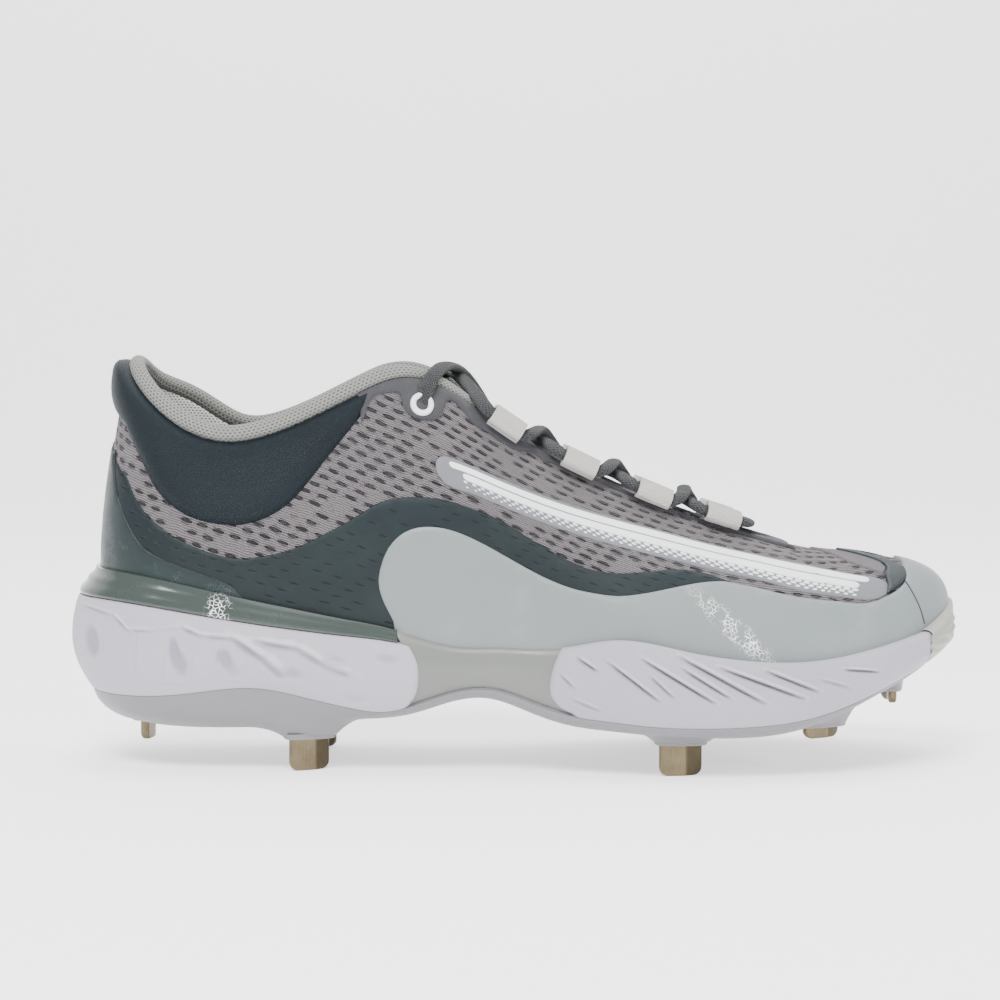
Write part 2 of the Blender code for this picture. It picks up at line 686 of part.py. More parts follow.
def build_sole(parts, cutters):
    """The foam blocks at heel and forefoot, the toe bumper and the plate with its midfoot saddle and bosses."""
    far = LENGTH
    heel_end = smooth_line(block_end(1))
    fore_back = smooth_line(block_end(2))
    fore_front = smooth_line(block_end(3))

    def left_of(line):
        return [(-far, line[0][1]), *line, (-far, line[-1][1])]

    def right_of(line):
        return [*line, (far, line[-1][1]), (far, line[0][1])]

    heel = sole_block("midsole_heel", "foam", parts, lambda at, h: h["foam"], lambda at, h: h["shelf"])
    boolean(heel, prism("cut_heel_block", left_of(heel_end), far, cutters), "INTERSECT")

    fore = sole_block("midsole_forefoot", "foam", parts, lambda at, h: h["foam"], lambda at, h: h["rim"])
    fore_outline = [*fore_back, *fore_front[::-1]]
    boolean(fore, prism("cut_fore_block", fore_outline, far, cutters), "INTERSECT")

    bumper = sole_block("toe_bumper", "bumper", parts, lambda at, h: h["foam"], bumper_top)
    toe_side = smooth_line(block_end(3, GAP))
    boolean(bumper, prism("cut_bumper", right_of(toe_side), far, cutters), "INTERSECT")

    saddle = sole_block(
        "saddle_block",
        None,
        cutters,
        lambda at, h: h["plate"] + (h["foam"] - h["plate"]) * 0.58,
        lambda at, h: h["rim"],
        step_in=SADDLE_STEP,
    )
    as_cutter(saddle)
    saddle_outline = [*smooth_line(block_end(1, GAP)), *smooth_line(block_end(2, -GAP))[::-1]]
    boolean(saddle, prism("cut_saddle", saddle_outline, far, cutters), "INTERSECT")

    plate = plate_block("outsole_plate", "plate", parts)
    boolean(plate, saddle, "UNION")
    return plate


def stud_place(along, across, turn):
    return Matrix.Translation((along * LENGTH, across * BALL_WIDTH, 0.0)) @ Matrix.Rotation(
        math.radians(turn), 4, "Z"
    )


def rounded_block(low, high, length, width, foot_length, foot_width, power=3.5, count=12):
    """Two level rounded outlines, one over the other."""
    rings = []
    for height, a, b in ((low, foot_length / 2, foot_width / 2), (high, length / 2, width / 2)):
        angles = np.arange(count) * 2 * math.pi / count
        c, s = np.cos(angles), np.sin(angles)
        x = a * np.sign(c) * np.abs(c) ** (2 / power)
        y = b * np.sign(s) * np.abs(s) ** (2 / power)
        rings.append(np.stack((x, y, np.full(count, height)), axis=-1))
    return rings


def build_studs(plate, parts, cutters):
    """Eight metal blades, each in a boss of the plate."""
    for name, along, across, turn, foot, root, long, wide in STUDS:
        share = np.clip((along * LENGTH - FEATHER_START) / FEATHER_LENGTH, 0.0, 1.0)
        plate_low = bed_height(share) - STACK_DEPTH * SOLE_CURVES["plate"](share)
        rings = rounded_block(
            root * STACK_DEPTH,
            plate_low + BOSS_BURY,
            long * BLADE_WIDTH,
            wide * BLADE_WIDTH,
            BLADE_WIDTH + BLADE_THICK,
            3 * BLADE_THICK,
        )
        boss = as_cutter(loft("boss_" + name, rings, None, cutters))
        boss.matrix_world = stud_place(along, across, turn)
        boolean(plate, boss, "UNION")

    slot_length = BLADE_WIDTH + 2 * GAP
    slot_width = BLADE_THICK + 2 * GAP
    for name, along, across, turn, foot, root, long, wide in STUDS:
        low = root * STACK_DEPTH
        rings = rounded_block(
            low - BLADE_SEAT, low + BLADE_SEAT + GAP, slot_length, slot_width, slot_length, slot_width, power=12.0
        )
        slot = as_cutter(loft("slot_" + name, rings, None, cutters))
        slot.matrix_world = stud_place(along, across, turn)
        boolean(plate, slot, "DIFFERENCE")

        outline = blade_outline(foot * STACK_DEPTH, low + BLADE_SEAT)
        sections = [[(x, y, z) for x, z in outline] for y in (-BLADE_THICK / 2, BLADE_THICK / 2)]
        blade = loft("stud_" + name, sections, "metal", parts)
        blade.matrix_world = stud_place(along, across, turn)


def blade_outline(low, high):
    """A blade seen from its side: square at the top, rounded at the corners of its foot."""
    half = BLADE_WIDTH / 2
    outline = [(half, high), (-half, high)]
    for centre, start in ((-half + BLADE_CORNER, 180), (half - BLADE_CORNER, 270)):
        for degrees in range(start, start + 91, 30):
            angle = math.radians(degrees)
            outline.append(
                (centre + BLADE_CORNER * math.cos(angle), low + BLADE_CORNER * (1 + math.sin(angle)))
            )
    return outline


def build_rail(parts):
    """The stepped rail round the heel, on the foam and against the upper."""
    end = math.acos(1 - 2 * (-0.127 * LENGTH - FEATHER_START) / FEATHER_LENGTH) / math.pi
    sections = []
    for station in np.linspace(-end, end, 23):
        heights = sole_heights(station)
        low, high = heights["shelf"] + GAP, heights["rim"]
        at = abs(station)
        foot = skirt_point(station, SKIRT_CURVES["lean"](at) * SIDE_LEAN, low)
        section = []
        for level, reach in RAIL_STEPS:
            height = low + (high - low) * level
            inner = skin(station, rise_at(station, height)) + outward(station) * (GAP + RAIL_LIP)
            width = np.dot(foot - inner, outward(station))
            point = inner + outward(station) * max(width, 0.0) * reach
            point[2] = height
            section.append(point)
        for level in (1.0, 0.5, 0.0):
            height = low + (high - low) * level
            point = skin(station, rise_at(station, height)) + outward(station) * GAP
            point[2] = height
            section.append(point)
        sections.append(section)
    return loft("heel_rail", sections, "rail", parts)


def band(name, finish, parts, stations, low_of, high_of, thick):
    """A layer over the upper, between two rises of each rib and a gap off its face."""
    sections = []
    rows = len(RISES)
    for station in stations:
        rises = np.clip(RISES, low_of(station), high_of(station))
        outer = lifted(np.full(rows, station), rises, np.full(rows, LAYER_GAP + thick))
        inner = lifted(np.full(rows, station), rises, np.full(rows, LAYER_GAP))
        sections.append(np.vstack((outer, inner[::-1])))
    return loft(name, sections, finish, parts)


def panel(line):
    return np.array(line) * LENGTH


def pushed(line, distance):
    """A panel's edge moved to its left by a distance."""
    run = np.gradient(line, axis=0)
    run /= np.linalg.norm(run, axis=1, keepdims=True)
    return line + np.stack((-run[:, 1], run[:, 0]), axis=1) * distance


def above_rim(station):
    return rise_at(station, sole_heights(station)["rim"] + 2 * GAP)


def above_bumper(station):
    heights = sole_heights(station)
    return rise_at(station, bumper_top(abs(wrapped(station)), heights) + 2 * GAP)


def build_panels(upper, parts, cutters):
    """The layers over the upper: collar pad, dark quarter film, heel counter, light guard and eyestays."""
    far = LENGTH
    pad_line = panel(COLLAR_PAD_EDGE)
    quarter_line = panel(QUARTER_EDGE)
    guard_line = panel(GUARD_EDGE)
    counter_line = panel(COUNTER_EDGE)
    stay_line = panel(STAY_EDGE)

    def below(line, side=-1):
        """The outline of all that lies under a line, closed far off behind or in front."""
        return [(side * far, line[0][1]), *line, (line[-1][0], -far), (side * far, -far)]

    def columns(start, end):
        inner = COLUMNS[(COLUMNS > start + 0.004) & (COLUMNS < end - 0.004)]
        return np.concatenate(([start], inner, [end]))

    def both(end):
        half = columns(0.0, end)
        return np.concatenate((-half[::-1], half[1:]))

    pad = band("collar_pad", "neoprene", parts, both(0.45), lambda s: 0.45, lambda s: 0.985, PAD_THICK)
    outline = [*pad_line, (far, pad_line[-1][1]), (far, far), (-far, far), (-far, pad_line[0][1])]
    boolean(pad, prism("cut_pad", outline, far, cutters), "INTERSECT")

    quarter_room = prism("cut_quarter", below(quarter_line), far, cutters)
    guard_room = prism("cut_quarter_guard", below(pushed(guard_line, -GAP), 1), far, cutters)
    counter_room = prism("cut_quarter_counter", below(pushed(counter_line, GAP)), far, cutters)
    for name, side in (("quarter_outer", -1), ("quarter_inner", 1)):
        quarter = band(name, "film", parts, side * columns(0.04, 0.70), above_rim, lambda s: 0.76, FILM)
        boolean(quarter, quarter_room, "INTERSECT")
        boolean(quarter, guard_room, "DIFFERENCE")
        boolean(quarter, counter_room, "DIFFERENCE")

    counter = band("heel_counter", "film", parts, both(0.28), above_rim, lambda s: 0.74, STAY_THICK)
    boolean(counter, prism("cut_counter", below(counter_line), far, cutters), "INTERSECT")
    boolean(counter, quarter_room, "INTERSECT")

    half = columns(0.39, 1.0)
    guard = band(
        "toe_guard",
        "guard",
        parts,
        np.concatenate((half, 2.0 - half[-2::-1])),
        above_bumper,
        lambda s: 0.80 + 0.14 * min(1.0, (1.0 - abs(wrapped(s))) * 6),
        FILM,
    )
    boolean(guard, prism("cut_guard", below(guard_line, 1), far, cutters), "INTERSECT")

    stay_outline = [*stay_line, (far, stay_line[-1][1]), (far, far), (-far, far)]
    for name, side in (("eyestay_outer", -1), ("eyestay_inner", 1)):
        stay = band(
            name,
            "stay",
            parts,
            side * columns(0.425, 0.768),
            lambda s: 0.62 + 0.30 * max(0.0, (abs(s) - 0.60) / 0.168),
            lambda s: 0.985,
            STAY_THICK,
        )
        boolean(stay, prism("cut_" + name, stay_outline, far, cutters), "INTERSECT")
        station, rise = on_skin(EYELET_ALONG * LENGTH, EYELET_HEIGHT * LENGTH, side)
        normal = Vector(skin_normal(station, rise))
        place = Matrix.Translation(skin(station, rise)) @ normal.to_track_quat("Z", "Y").to_matrix().to_4x4()
        bore = EYELET_BORE + EYELET_THICK
        profile = [(0.0, -2 * WALL), (bore, -2 * WALL), (bore, 2 * WALL), (0.0, 2 * WALL)]
        hole = as_cutter(turned("hole_" + name, profile, None, cutters))
        hole.matrix_world = place
        boolean(stay, hole, "DIFFERENCE")
        boolean(upper, hole, "DIFFERENCE")
        face = LAYER_GAP + STAY_THICK + GAP
        eyelet = turned(
            name.replace("eyestay", "eyelet"),
            [
                (EYELET_BORE, -WALL / 2),
                (bore - GAP, -WALL / 2),
                (bore - GAP, face),
                (EYELET_RADIUS, face),
                (EYELET_RADIUS - EYELET_THICK / 4, face + EYELET_THICK * 0.8),
                (bore - GAP, face + EYELET_THICK),
                (EYELET_BORE, face + EYELET_THICK * 0.6),
            ],
            "eyelet",
            parts,
        )
        eyelet.matrix_world = place


def turned(name, profile, finish, collection, count=12):
    """A turned solid about its Z axis, from a closed profile of radius and height."""
    angles = np.arange(count) * 2 * math.pi / count
    sections = [[(r * math.cos(a), r * math.sin(a), z) for r, z in profile] for a in angles]
    return loft(name, sections, finish, collection, around=True)


def throat_frame(station):
    """At the throat's edge: its point, the way along it to the toe, out of the shoe, and away from the throat."""
    sign = 1.0 if station > 0 else -1.0
    point = top_edge(station)
    along = (top_edge(station + 0.004 * sign) - top_edge(station - 0.004 * sign))
    along /= np.linalg.norm(along)
    out = skin_normal(station, 0.97)
    out = out - along * np.dot(out, along)
    out /= np.linalg.norm(out)
    away = np.cross(along, out) * sign
    if np.dot(away, skin(station, 0.9) - point) < 0:
        away = -away
    return point, along, out, away


def loop_centre(station):
    """The middle of a loop's hollow, over the eyestay at the throat's edge."""
    point, along, out, away = throat_frame(station)
    lift = LAYER_GAP + STAY_THICK + LAYER_GAP + LOOP_WALL + LACE_ROOM + LACE_THICK / 2
    return point + out * lift + away * (LOOP_REACH / 2 - LOOP_HANG)


def oval(width, thick, count=8, power=2.6):
    angles = (np.arange(count) + 0.5) * 2 * math.pi / count
    c, s = np.cos(angles), np.sin(angles)
    x = width / 2 * np.sign(c) * np.abs(c) ** (2 / power)
    y = thick / 2 * np.sign(s) * np.abs(s) ** (2 / power)
    return np.stack((x, y), axis=-1)


def build_loops(parts):
    """The webbing loops that carry the lace on each edge of the throat."""
    hollow = LACE_THICK + 2 * LACE_ROOM
    outside = oval(LOOP_REACH, hollow + 2 * LOOP_WALL)
    inside = oval(LOOP_REACH - 2 * LOOP_WALL, hollow)
    ends = ((-1, outside), (1, outside), (1, inside), (-1, inside))
    for number, at in enumerate(LOOP_STATIONS, start=1):
        for label, side in (("outer", -1), ("inner", 1)):
            point, along, out, away = throat_frame(side * at)
            centre = loop_centre(side * at)
            sections = [
                [centre + along * end * LOOP_LENGTH / 2 + away * a + out * b for a, b in ring] for end, ring in ends
            ]
            loft(f"lace_loop_{label}_{number}", sections, "webbing", parts, around=True)


def lace_half(side):
    """The lace from one eyelet down to the bottom bar, crossing the throat between the loops."""
    station, rise = on_skin(EYELET_ALONG * LENGTH, EYELET_HEIGHT * LENGTH, side)
    face = LAYER_GAP + STAY_THICK + GAP + EYELET_THICK + GAP + LACE_THICK
    here = lifted(station, rise, face)
    way = np.array((LACE_LEAD / 2, 0.0, LACE_CLIMB))
    points = []
    for number, at in enumerate(LOOP_STATIONS):
        onto = -side if number % 2 == 0 else side
        point, along, out, away = throat_frame(onto * at)
        centre = loop_centre(onto * at) + out * (LACE_ROOM - GAP)
        over = number % 2 == (0 if side < 0 else 1)
        raise_by = np.array((0.0, 0.0, LACE_LIFT + (LACE_STEP if over else 0.0)))
        reach = along * (LOOP_LENGTH / 2 + 4 * GAP)
        back = centre - reach
        first = here + way + raise_by
        second = back - along * LACE_LEAD + raise_by
        for t in np.linspace(0.0, 1.0, 7):
            points.append(
                here * (1 - t) ** 3 + 3 * first * t * (1 - t) ** 2 + 3 * second * t * t * (1 - t) + back * t**3
            )
        here = centre + reach
        points.append(here)
        way = along * LACE_LEAD
    return points, way


def build_lace(parts):
    """The lace in one piece, from eyelet to eyelet, clear of the loops and the tongue."""
    outer, way = lace_half(-1)
    inner, other_way = lace_half(1)
    bar = [
        outer[-1] * (1 - t) ** 3
        + 3 * (outer[-1] + way) * t * (1 - t) ** 2
        + 3 * (inner[-1] + other_way) * t * t * (1 - t)
        + inner[-1] * t**3
        for t in np.linspace(0.0, 1.0, 9)[1:-1]
    ]
    line = np.array([*outer, *bar, *inner[::-1]])
    runs = np.gradient(line, axis=0)
    runs /= np.linalg.norm(runs, axis=1, keepdims=True)
    sections = []
    for point, run in zip(line, runs):
        out = np.array((0.0, 1.2 * point[1] / THROAT_WIDTH, 1.0))
        flat = np.cross(out, run)
        flat /= np.linalg.norm(flat)
        up = np.cross(run, flat)
        sections.append([point + flat * a + up * b for a, b in oval(LACE_WIDTH, LACE_THICK, 6, 2.0)])
    return loft("lace", sections, "lace", parts)


def build_insole(parts):
    """The insole, on the bed and inside the upper's bottom edge."""
    sections = []
    inset = WALL + 2 * GAP
    for at in COLUMNS[1:-1]:
        outer = feather(-at) - outward(-at) * inset
        inner = feather(at) - outward(at) * inset
        bottom = np.linspace(outer, inner, 3)
        top = bottom[::-1] + (0, 0, INSOLE_THICK)
        section = np.vstack((bottom, top))
        sections.append(section)
    return loft("insole", sections, "lining", parts)


def tongue_row(station, lift):
    """A row of the tongue's face: under one edge of the throat, over the gap and under the other edge."""
    rises = np.array((TONGUE_LAP, 0.995))
    sides = []
    for side in (-1, 1):
        sides.append(lifted(np.full(2, side * station), rises, np.full(2, lift)))
    left, right = sides
    left_lead = left[-1] - left[-2]
    right_lead = right[-1] - right[-2]
    left[-1] += left_lead / np.linalg.norm(left_lead) * TONGUE_CLEAR
    right[-1] += right_lead / np.linalg.norm(right_lead) * TONGUE_CLEAR
    span = np.linalg.norm(left[-1] - right[-1])
    crown = np.array((0.0, 0.0, span * TONGUE_CROWN))
    left_hold = left[-1] + (right[-1] - left[-1]) * 0.25 + left_lead * 0.1 + crown
    right_hold = right[-1] + (left[-1] - right[-1]) * 0.25 + right_lead * 0.1 + crown
    bridge = [
        left[-1] * (1 - t) ** 3
        + 3 * left_hold * t * (1 - t) ** 2
        + 3 * right_hold * t * t * (1 - t)
        + right[-1] * t**3
        for t in (0.25, 0.5, 0.75)
    ]
    return np.vstack((left, bridge, right[::-1]))


def build_tongue(parts):
    """The padded tongue, from under the vamp to the front of the collar."""
    face = WALL + TONGUE_GAP
    sections = []
    for station in (COLLAR_FRONT, *COLUMNS[(COLUMNS > 0.48) & (COLUMNS < 0.74)], 0.748):
        outer = tongue_row(station, -face)
        inner = tongue_row(station, -face - TONGUE_THICK)
        sections.append(np.vstack((outer, inner[::-1])))
    return loft("tongue", sections, "tongue", parts)


def build_lining(parts):
    """The soft roll that stands on the collar's edge."""
    stations = np.linspace(-COLLAR_FRONT, COLLAR_FRONT, LINING_RINGS)
    edge = top_edge(stations)
    top = np.full(LINING_RINGS, 0.97)
    runs = np.gradient(edge, axis=0)
    runs /= np.linalg.norm(runs, axis=1, keepdims=True)
    climbs = edge - skin(stations, top)
    climbs -= runs * np.sum(climbs * runs, axis=1, keepdims=True)
    climbs /= np.linalg.norm(climbs, axis=1, keepdims=True)
    acrosses = np.cross(runs, climbs)
    centre = edge + climbs * (LINING_RADIUS + 2 * GAP) - skin_normal(stations, top) * WALL / 2
    sections = []
    for point, across, climb in zip(centre, acrosses, climbs):
        angles = np.arange(7) * math.pi * 2 / 7
        sections.append(
            [point + LINING_RADIUS * (across * math.cos(angle) + climb * math.sin(angle)) for angle in angles]
        )
    return loft("collar_lining", sections, "lining", parts)


def main():
    clear_scene()
    parts = new_collection("baseball_cleat")
    cutters = new_collection("cutters")
    cutters.hide_render = True
    upper = build_upper(parts)
    plate = build_sole(parts, cutters)
    build_studs(plate, parts, cutters)
    build_rail(parts)
    build_insole(parts)
    build_tongue(parts)
    build_lining(parts)
    build_panels(upper, parts, cutters)
    build_loops(parts)
    build_lace(parts)


main()
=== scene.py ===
"""Looks of the baseball cleat: fine pieces on the surfaces that the CAD solids have, and their materials."""
import math

import bmesh
import bpy
import numpy as np
from mathutils import Matrix, Vector
from mathutils.geometry import delaunay_2d_cdt


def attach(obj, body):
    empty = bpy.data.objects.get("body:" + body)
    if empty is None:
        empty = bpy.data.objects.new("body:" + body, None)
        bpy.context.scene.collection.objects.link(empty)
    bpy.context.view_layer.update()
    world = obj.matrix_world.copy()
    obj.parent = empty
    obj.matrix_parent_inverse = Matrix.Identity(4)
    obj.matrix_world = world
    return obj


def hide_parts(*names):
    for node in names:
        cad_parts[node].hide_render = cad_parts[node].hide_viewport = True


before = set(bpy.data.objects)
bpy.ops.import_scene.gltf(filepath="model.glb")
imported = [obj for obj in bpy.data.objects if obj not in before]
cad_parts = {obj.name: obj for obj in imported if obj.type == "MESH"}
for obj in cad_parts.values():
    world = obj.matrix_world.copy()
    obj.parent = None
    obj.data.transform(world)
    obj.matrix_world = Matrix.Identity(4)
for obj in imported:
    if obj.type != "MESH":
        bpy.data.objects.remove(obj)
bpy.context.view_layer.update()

# Main sizes of the shoe
LENGTH = 0.300
HEEL_WIDTH = 0.064
BALL_WIDTH = 0.090
TAB_HEIGHT = 0.1330
INSTEP_HEIGHT = 0.1300
VAMP_HEIGHT = 0.0735
ANKLE_WIDTH = 0.062
THROAT_WIDTH = 0.042
TOE_SWAY = 0.006

# Heights of the bed that the foot stands on, and how far the sole reaches from it
HEEL_SEAT = 0.0447
BALL_SEAT = 0.0295
TOE_SPRING = 0.0100
RIM_RISE = 0.0215
FOAM_DEPTH = 0.0200
STACK_DEPTH = 0.0300
BUMPER_RISE = 0.0087

# How far the sole stands out from the bottom edge of the upper
HEEL_FLARE = 0.0120
SIDE_FLANGE = 0.0062
TOE_WRAP = 0.0065
SIDE_TUCK = 0.0045
SIDE_LEAN = 0.0020
SADDLE_STEP = 0.0012

# Walls and clearances
GAP = 0.0003
LAYER_GAP = 0.0005
WALL = 0.0020
STAY_THICK = 0.0012
INSOLE_THICK = 0.0040
TONGUE_THICK = 0.0050
RAIL_LIP = 0.0016
LINING_RADIUS = 0.0027

# Lace, its loops and its eyelets
LACE_WIDTH = 0.0048
LACE_THICK = 0.0028
LACE_ROOM = 0.0005
LACE_LIFT = 0.0022
LACE_LEAD = 0.0080
LACE_STEP = 0.0046
LACE_SINK = 0.0005
LACE_INSIDE = 0.0030
LACE_OUT = 0.0050
LACE_FORWARD = 0.0060
LACE_UP = 0.0165
LOOP_LENGTH = 0.0118
LOOP_REACH = 0.0078
LOOP_HANG = 0.0022
LOOP_WALL = 0.0009
EYELET_RADIUS = 0.0040
EYELET_BORE = 0.0021
EYELET_FACE = 0.0013
EYELET_CROWN = 0.0010
EYELET_SKIRT = 0.0006

# Studs: a metal blade in a boss of the plate
BLADE_WIDTH = 0.0145
BLADE_THICK = 0.0028
BLADE_CORNER = 0.0030
BLADE_SEAT = 0.0025

FEATHER_START = -LENGTH / 2 + HEEL_FLARE
FEATHER_LENGTH = LENGTH - HEEL_FLARE - TOE_WRAP

# What the photograph shows beyond the solids: a fuller toe, a higher inner side of the collar by a station
# and a width in stations, and lower loops on the inner side
TOE_FULL = 0.0024
TOE_FULL_WIDTH = 0.07
INNER_COLLAR_RISE = 0.0058
INNER_COLLAR_AT = 0.185
INNER_COLLAR_WIDTH = 0.06
INNER_LOOP_DROP = 0.0024
BUMPER_CURVE = 1.9

# Layers over the mesh: their thickness, and how wide their edges round over
QUARTER_FILM = (0.00050, 0.00060)
COUNTER_FILM = (0.00070, 0.00035)
GUARD_FILM = (0.00095, 0.00070)
STAY_FILM = (0.00125, 0.00090)
PRINT_BASE = (0.00035, 0.00040)
PRINT_FILM = (0.00062, 0.00030)
DARK_PATCH_FILM = (0.00120, 0.00040)
LIGHT_PATCH_FILM = (0.00060, 0.00040)
FILM_FOOT = 0.00015

# The ankle pad: how far it stands out, and how its top lifts and rolls over the wall at the heel
PAD_SWELL = 0.0036
PAD_EDGE = 0.0032
PAD_TAB_EDGE = 0.0018
PAD_TAB_SWELL = 0.0012
PAD_ROLL = 0.0042
PAD_ROLL_DEPTH = 0.0007
PAD_LIFT = 0.0044

# Edges of the sole's pieces
FOAM_TOP_ROUND = 0.0012
FOAM_LOW_ROUND = 0.0004
FOAM_END_ROUND = 0.0026
FOAM_UNDER = 0.012
MARK_STRENGTH = 1.5
MARK_SHADE = 0.0012
BUMPER_LAP = 0.0045
SADDLE_LAP = 0.003
BEAD = 0.0007
RIDGE = 0.00028
RIDGE_PITCH = 0.0031
RUBBER_PROUD = 0.0003

# Stations on the way round from the heel (0) to the toe (1)
THROAT_ROUND = 0.735
THROAT_END = 0.78
BUMPER_START = 0.86

# Bottom edge of the upper. share: of the length from the heel. heel: of HEEL_WIDTH.
# outer, inner: of BALL_WIDTH, added on each side. sway: of TOE_SWAY.
FEATHER = (
    # share, heel, outer, inner, sway
    (0.000, 1.040, 0.000, 0.000, 0.00),
    (0.030, 0.990, 0.000, 0.000, 0.00),
    (0.096, 0.840, 0.000, 0.000, 0.00),
    (0.206, 0.647, 0.000, 0.000, 0.00),
    (0.346, 0.400, 0.116, 0.076, -0.17),
    (0.500, 0.200, 0.263, 0.220, -0.33),
    (0.655, 0.000, 0.532, 0.491, -0.25),
    (0.794, 0.000, 0.632, 0.604, 0.13),
    (0.905, 0.000, 0.693, 0.684, 0.60),
    (1.000, 0.000, 0.717, 0.707, 1.00),
)

# Top edge of the upper, then its ridge. along: of LENGTH, from the middle. ankle: of ANKLE_WIDTH.
# throat: of THROAT_WIDTH. tab, instep, vamp: of the three heights. sway: of TOE_SWAY.
TOP_EDGE = (
    # station, along, ankle, throat, tab, instep, vamp, sway
    (0.00, -0.4350, 0.000, 0.000, 1.000, 0.000, 0.000, 0.00),
    (0.06, -0.4300, 0.170, 0.000, 0.985, 0.000, 0.000, 0.00),
    (0.12, -0.4110, 0.310, 0.000, 0.935, 0.000, 0.000, 0.00),
    (0.18, -0.3740, 0.410, 0.000, 0.865, 0.000, 0.000, 0.00),
    (0.24, -0.3270, 0.465, 0.000, 0.824, 0.000, 0.000, 0.00),
    (0.30, -0.2780, 0.490, 0.000, 0.834, 0.000, 0.000, 0.00),
    (0.36, -0.2250, 0.480, 0.000, 0.880, 0.000, 0.000, 0.00),
    (0.42, -0.1670, 0.420, 0.040, 0.480, 0.476, 0.000, 0.00),
    (0.46, -0.1250, 0.240, 0.230, 0.000, 1.000, 0.000, 0.00),
    (0.50, -0.0800, 0.060, 0.400, 0.000, 0.974, 0.000, 0.00),
    (0.56, 0.0000, 0.000, 0.430, 0.000, 0.850, 0.000, 0.00),
    (0.62, 0.0900, 0.000, 0.375, 0.000, 0.738, 0.000, 0.05),
    (0.68, 0.1800, 0.000, 0.320, 0.000, 0.650, 0.000, 0.15),
    (0.73, 0.2450, 0.000, 0.270, 0.000, 0.350, 0.442, 0.30),
    (0.78, 0.2890, 0.000, 0.210, 0.000, 0.000, 1.010, 0.38),
    (0.85, 0.3260, 0.000, 0.200, 0.000, 0.000, 0.974, 0.45),
    (0.92, 0.3630, 0.000, 0.200, 0.000, 0.000, 0.956, 0.52),
    (1.00, 0.3930, 0.000, 0.200, 0.000, 0.000, 0.945, 0.58),
)

# How a rib leaves the bottom edge and comes to the top edge: pulls are shares of its span, in degrees
# outwards from upright at the bottom, and down from level at the top.
RIB = (
    # station, low_pull, splay, high_pull, slope
    (0.00, 0.330, 10.0, 0.280, 80.0),
    (0.12, 0.350, 9.0, 0.300, 82.0),
    (0.24, 0.360, 7.0, 0.330, 84.0),
    (0.36, 0.320, 6.0, 0.330, 80.0),
    (0.46, 0.280, 6.0, 0.330, 70.0),
    (0.54, 0.285, 8.0, 0.350, 60.0),
    (0.62, 0.270, 10.0, 0.355, 44.0),
    (0.69, 0.250, 12.0, 0.380, 31.0),
    (0.735, 0.247, 12.0, 0.410, 20.0),
    (0.78, 0.255, 12.0, 0.450, 8.0),
    (0.88, 0.350, 12.0, 0.500, 7.0),
    (1.00, 0.550, 13.0, 0.620, 6.0),
)

# Heights of the sole by the share of its length: drop and spring lead the bed from heel to toe,
# rim and shelf are of RIM_RISE above it, foam of FOAM_DEPTH and plate of STACK_DEPTH below it.
SOLE = (
    # share, drop, spring, rim, shelf, foam, plate
    (0.000, 1.00, 0.00, 1.000, 0.572, 1.000, 1.000),
    (0.100, 0.97, 0.00, 0.851, 0.442, 0.915, 1.000),
    (0.190, 0.89, 0.00, 0.656, 0.302, 0.755, 0.953),
    (0.250, 0.82, 0.00, 0.549, 0.247, 0.870, 0.883),
    (0.300, 0.76, 0.00, 0.465, 0.219, 0.980, 0.793),
    (0.335, 0.69, 0.00, 0.428, 0.219, 0.980, 0.737),
    (0.370, 0.62, 0.00, 0.349, 0.195, 0.830, 0.647),
    (0.420, 0.53, 0.00, 0.237, 0.237, 0.530, 0.453),
    (0.460, 0.47, 0.00, 0.270, 0.270, 0.430, 0.393),
    (0.510, 0.37, 0.00, 0.335, 0.335, 0.560, 0.500),
    (0.555, 0.28, 0.00, 0.437, 0.437, 0.680, 0.573),
    (0.600, 0.19, 0.00, 0.605, 0.605, 0.685, 0.570),
    (0.640, 0.12, 0.00, 0.637, 0.637, 0.685, 0.563),
    (0.690, 0.05, 0.00, 0.549, 0.549, 0.660, 0.547),
    (0.750, 0.00, 0.00, 0.456, 0.456, 0.610, 0.533),
    (0.820, 0.00, 0.04, 0.386, 0.386, 0.540, 0.480),
    (0.880, 0.00, 0.20, 0.381, 0.381, 0.390, 0.350),
    (0.940, 0.00, 0.55, 0.381, 0.381, 0.230, 0.220),
    (1.000, 0.00, 1.00, 0.302, 0.302, 0.240, 0.230),
)

# Plan and side of the sole by station: flare of HEEL_FLARE, flange of SIDE_FLANGE, wrap of TOE_WRAP,
# tuck of the foam's bottom edge and under of the plate's, both of SIDE_TUCK, lean of SIDE_LEAN.
SKIRT = (
    # station, flare, flange, wrap, tuck, under, lean
    (0.00, 1.00, 0.00, 0.00, 1.55, 4.60, 1.35),
    (0.10, 0.75, 0.25, 0.00, 1.40, 4.00, 1.30),
    (0.20, 0.30, 0.58, 0.00, 1.10, 2.90, 1.20),
    (0.30, 0.05, 0.78, 0.00, 1.00, 2.30, 1.10),
    (0.40, 0.00, 0.84, 0.00, 0.90, 1.90, 0.90),
    (0.46, 0.00, 0.76, 0.00, 0.65, 1.40, 0.70),
    (0.52, 0.00, 0.80, 0.00, 0.60, 1.30, 0.70),
    (0.60, 0.00, 0.97, 0.00, 0.55, 1.30, 0.80),
    (0.70, 0.00, 1.02, 0.00, 0.55, 1.40, 0.80),
    (0.80, 0.00, 1.02, 0.00, 0.60, 1.60, 0.80),
    (0.90, 0.00, 0.60, 0.40, 1.20, 2.20, 0.90),
    (1.00, 0.00, 0.00, 1.00, 1.90, 3.00, 1.00),
)

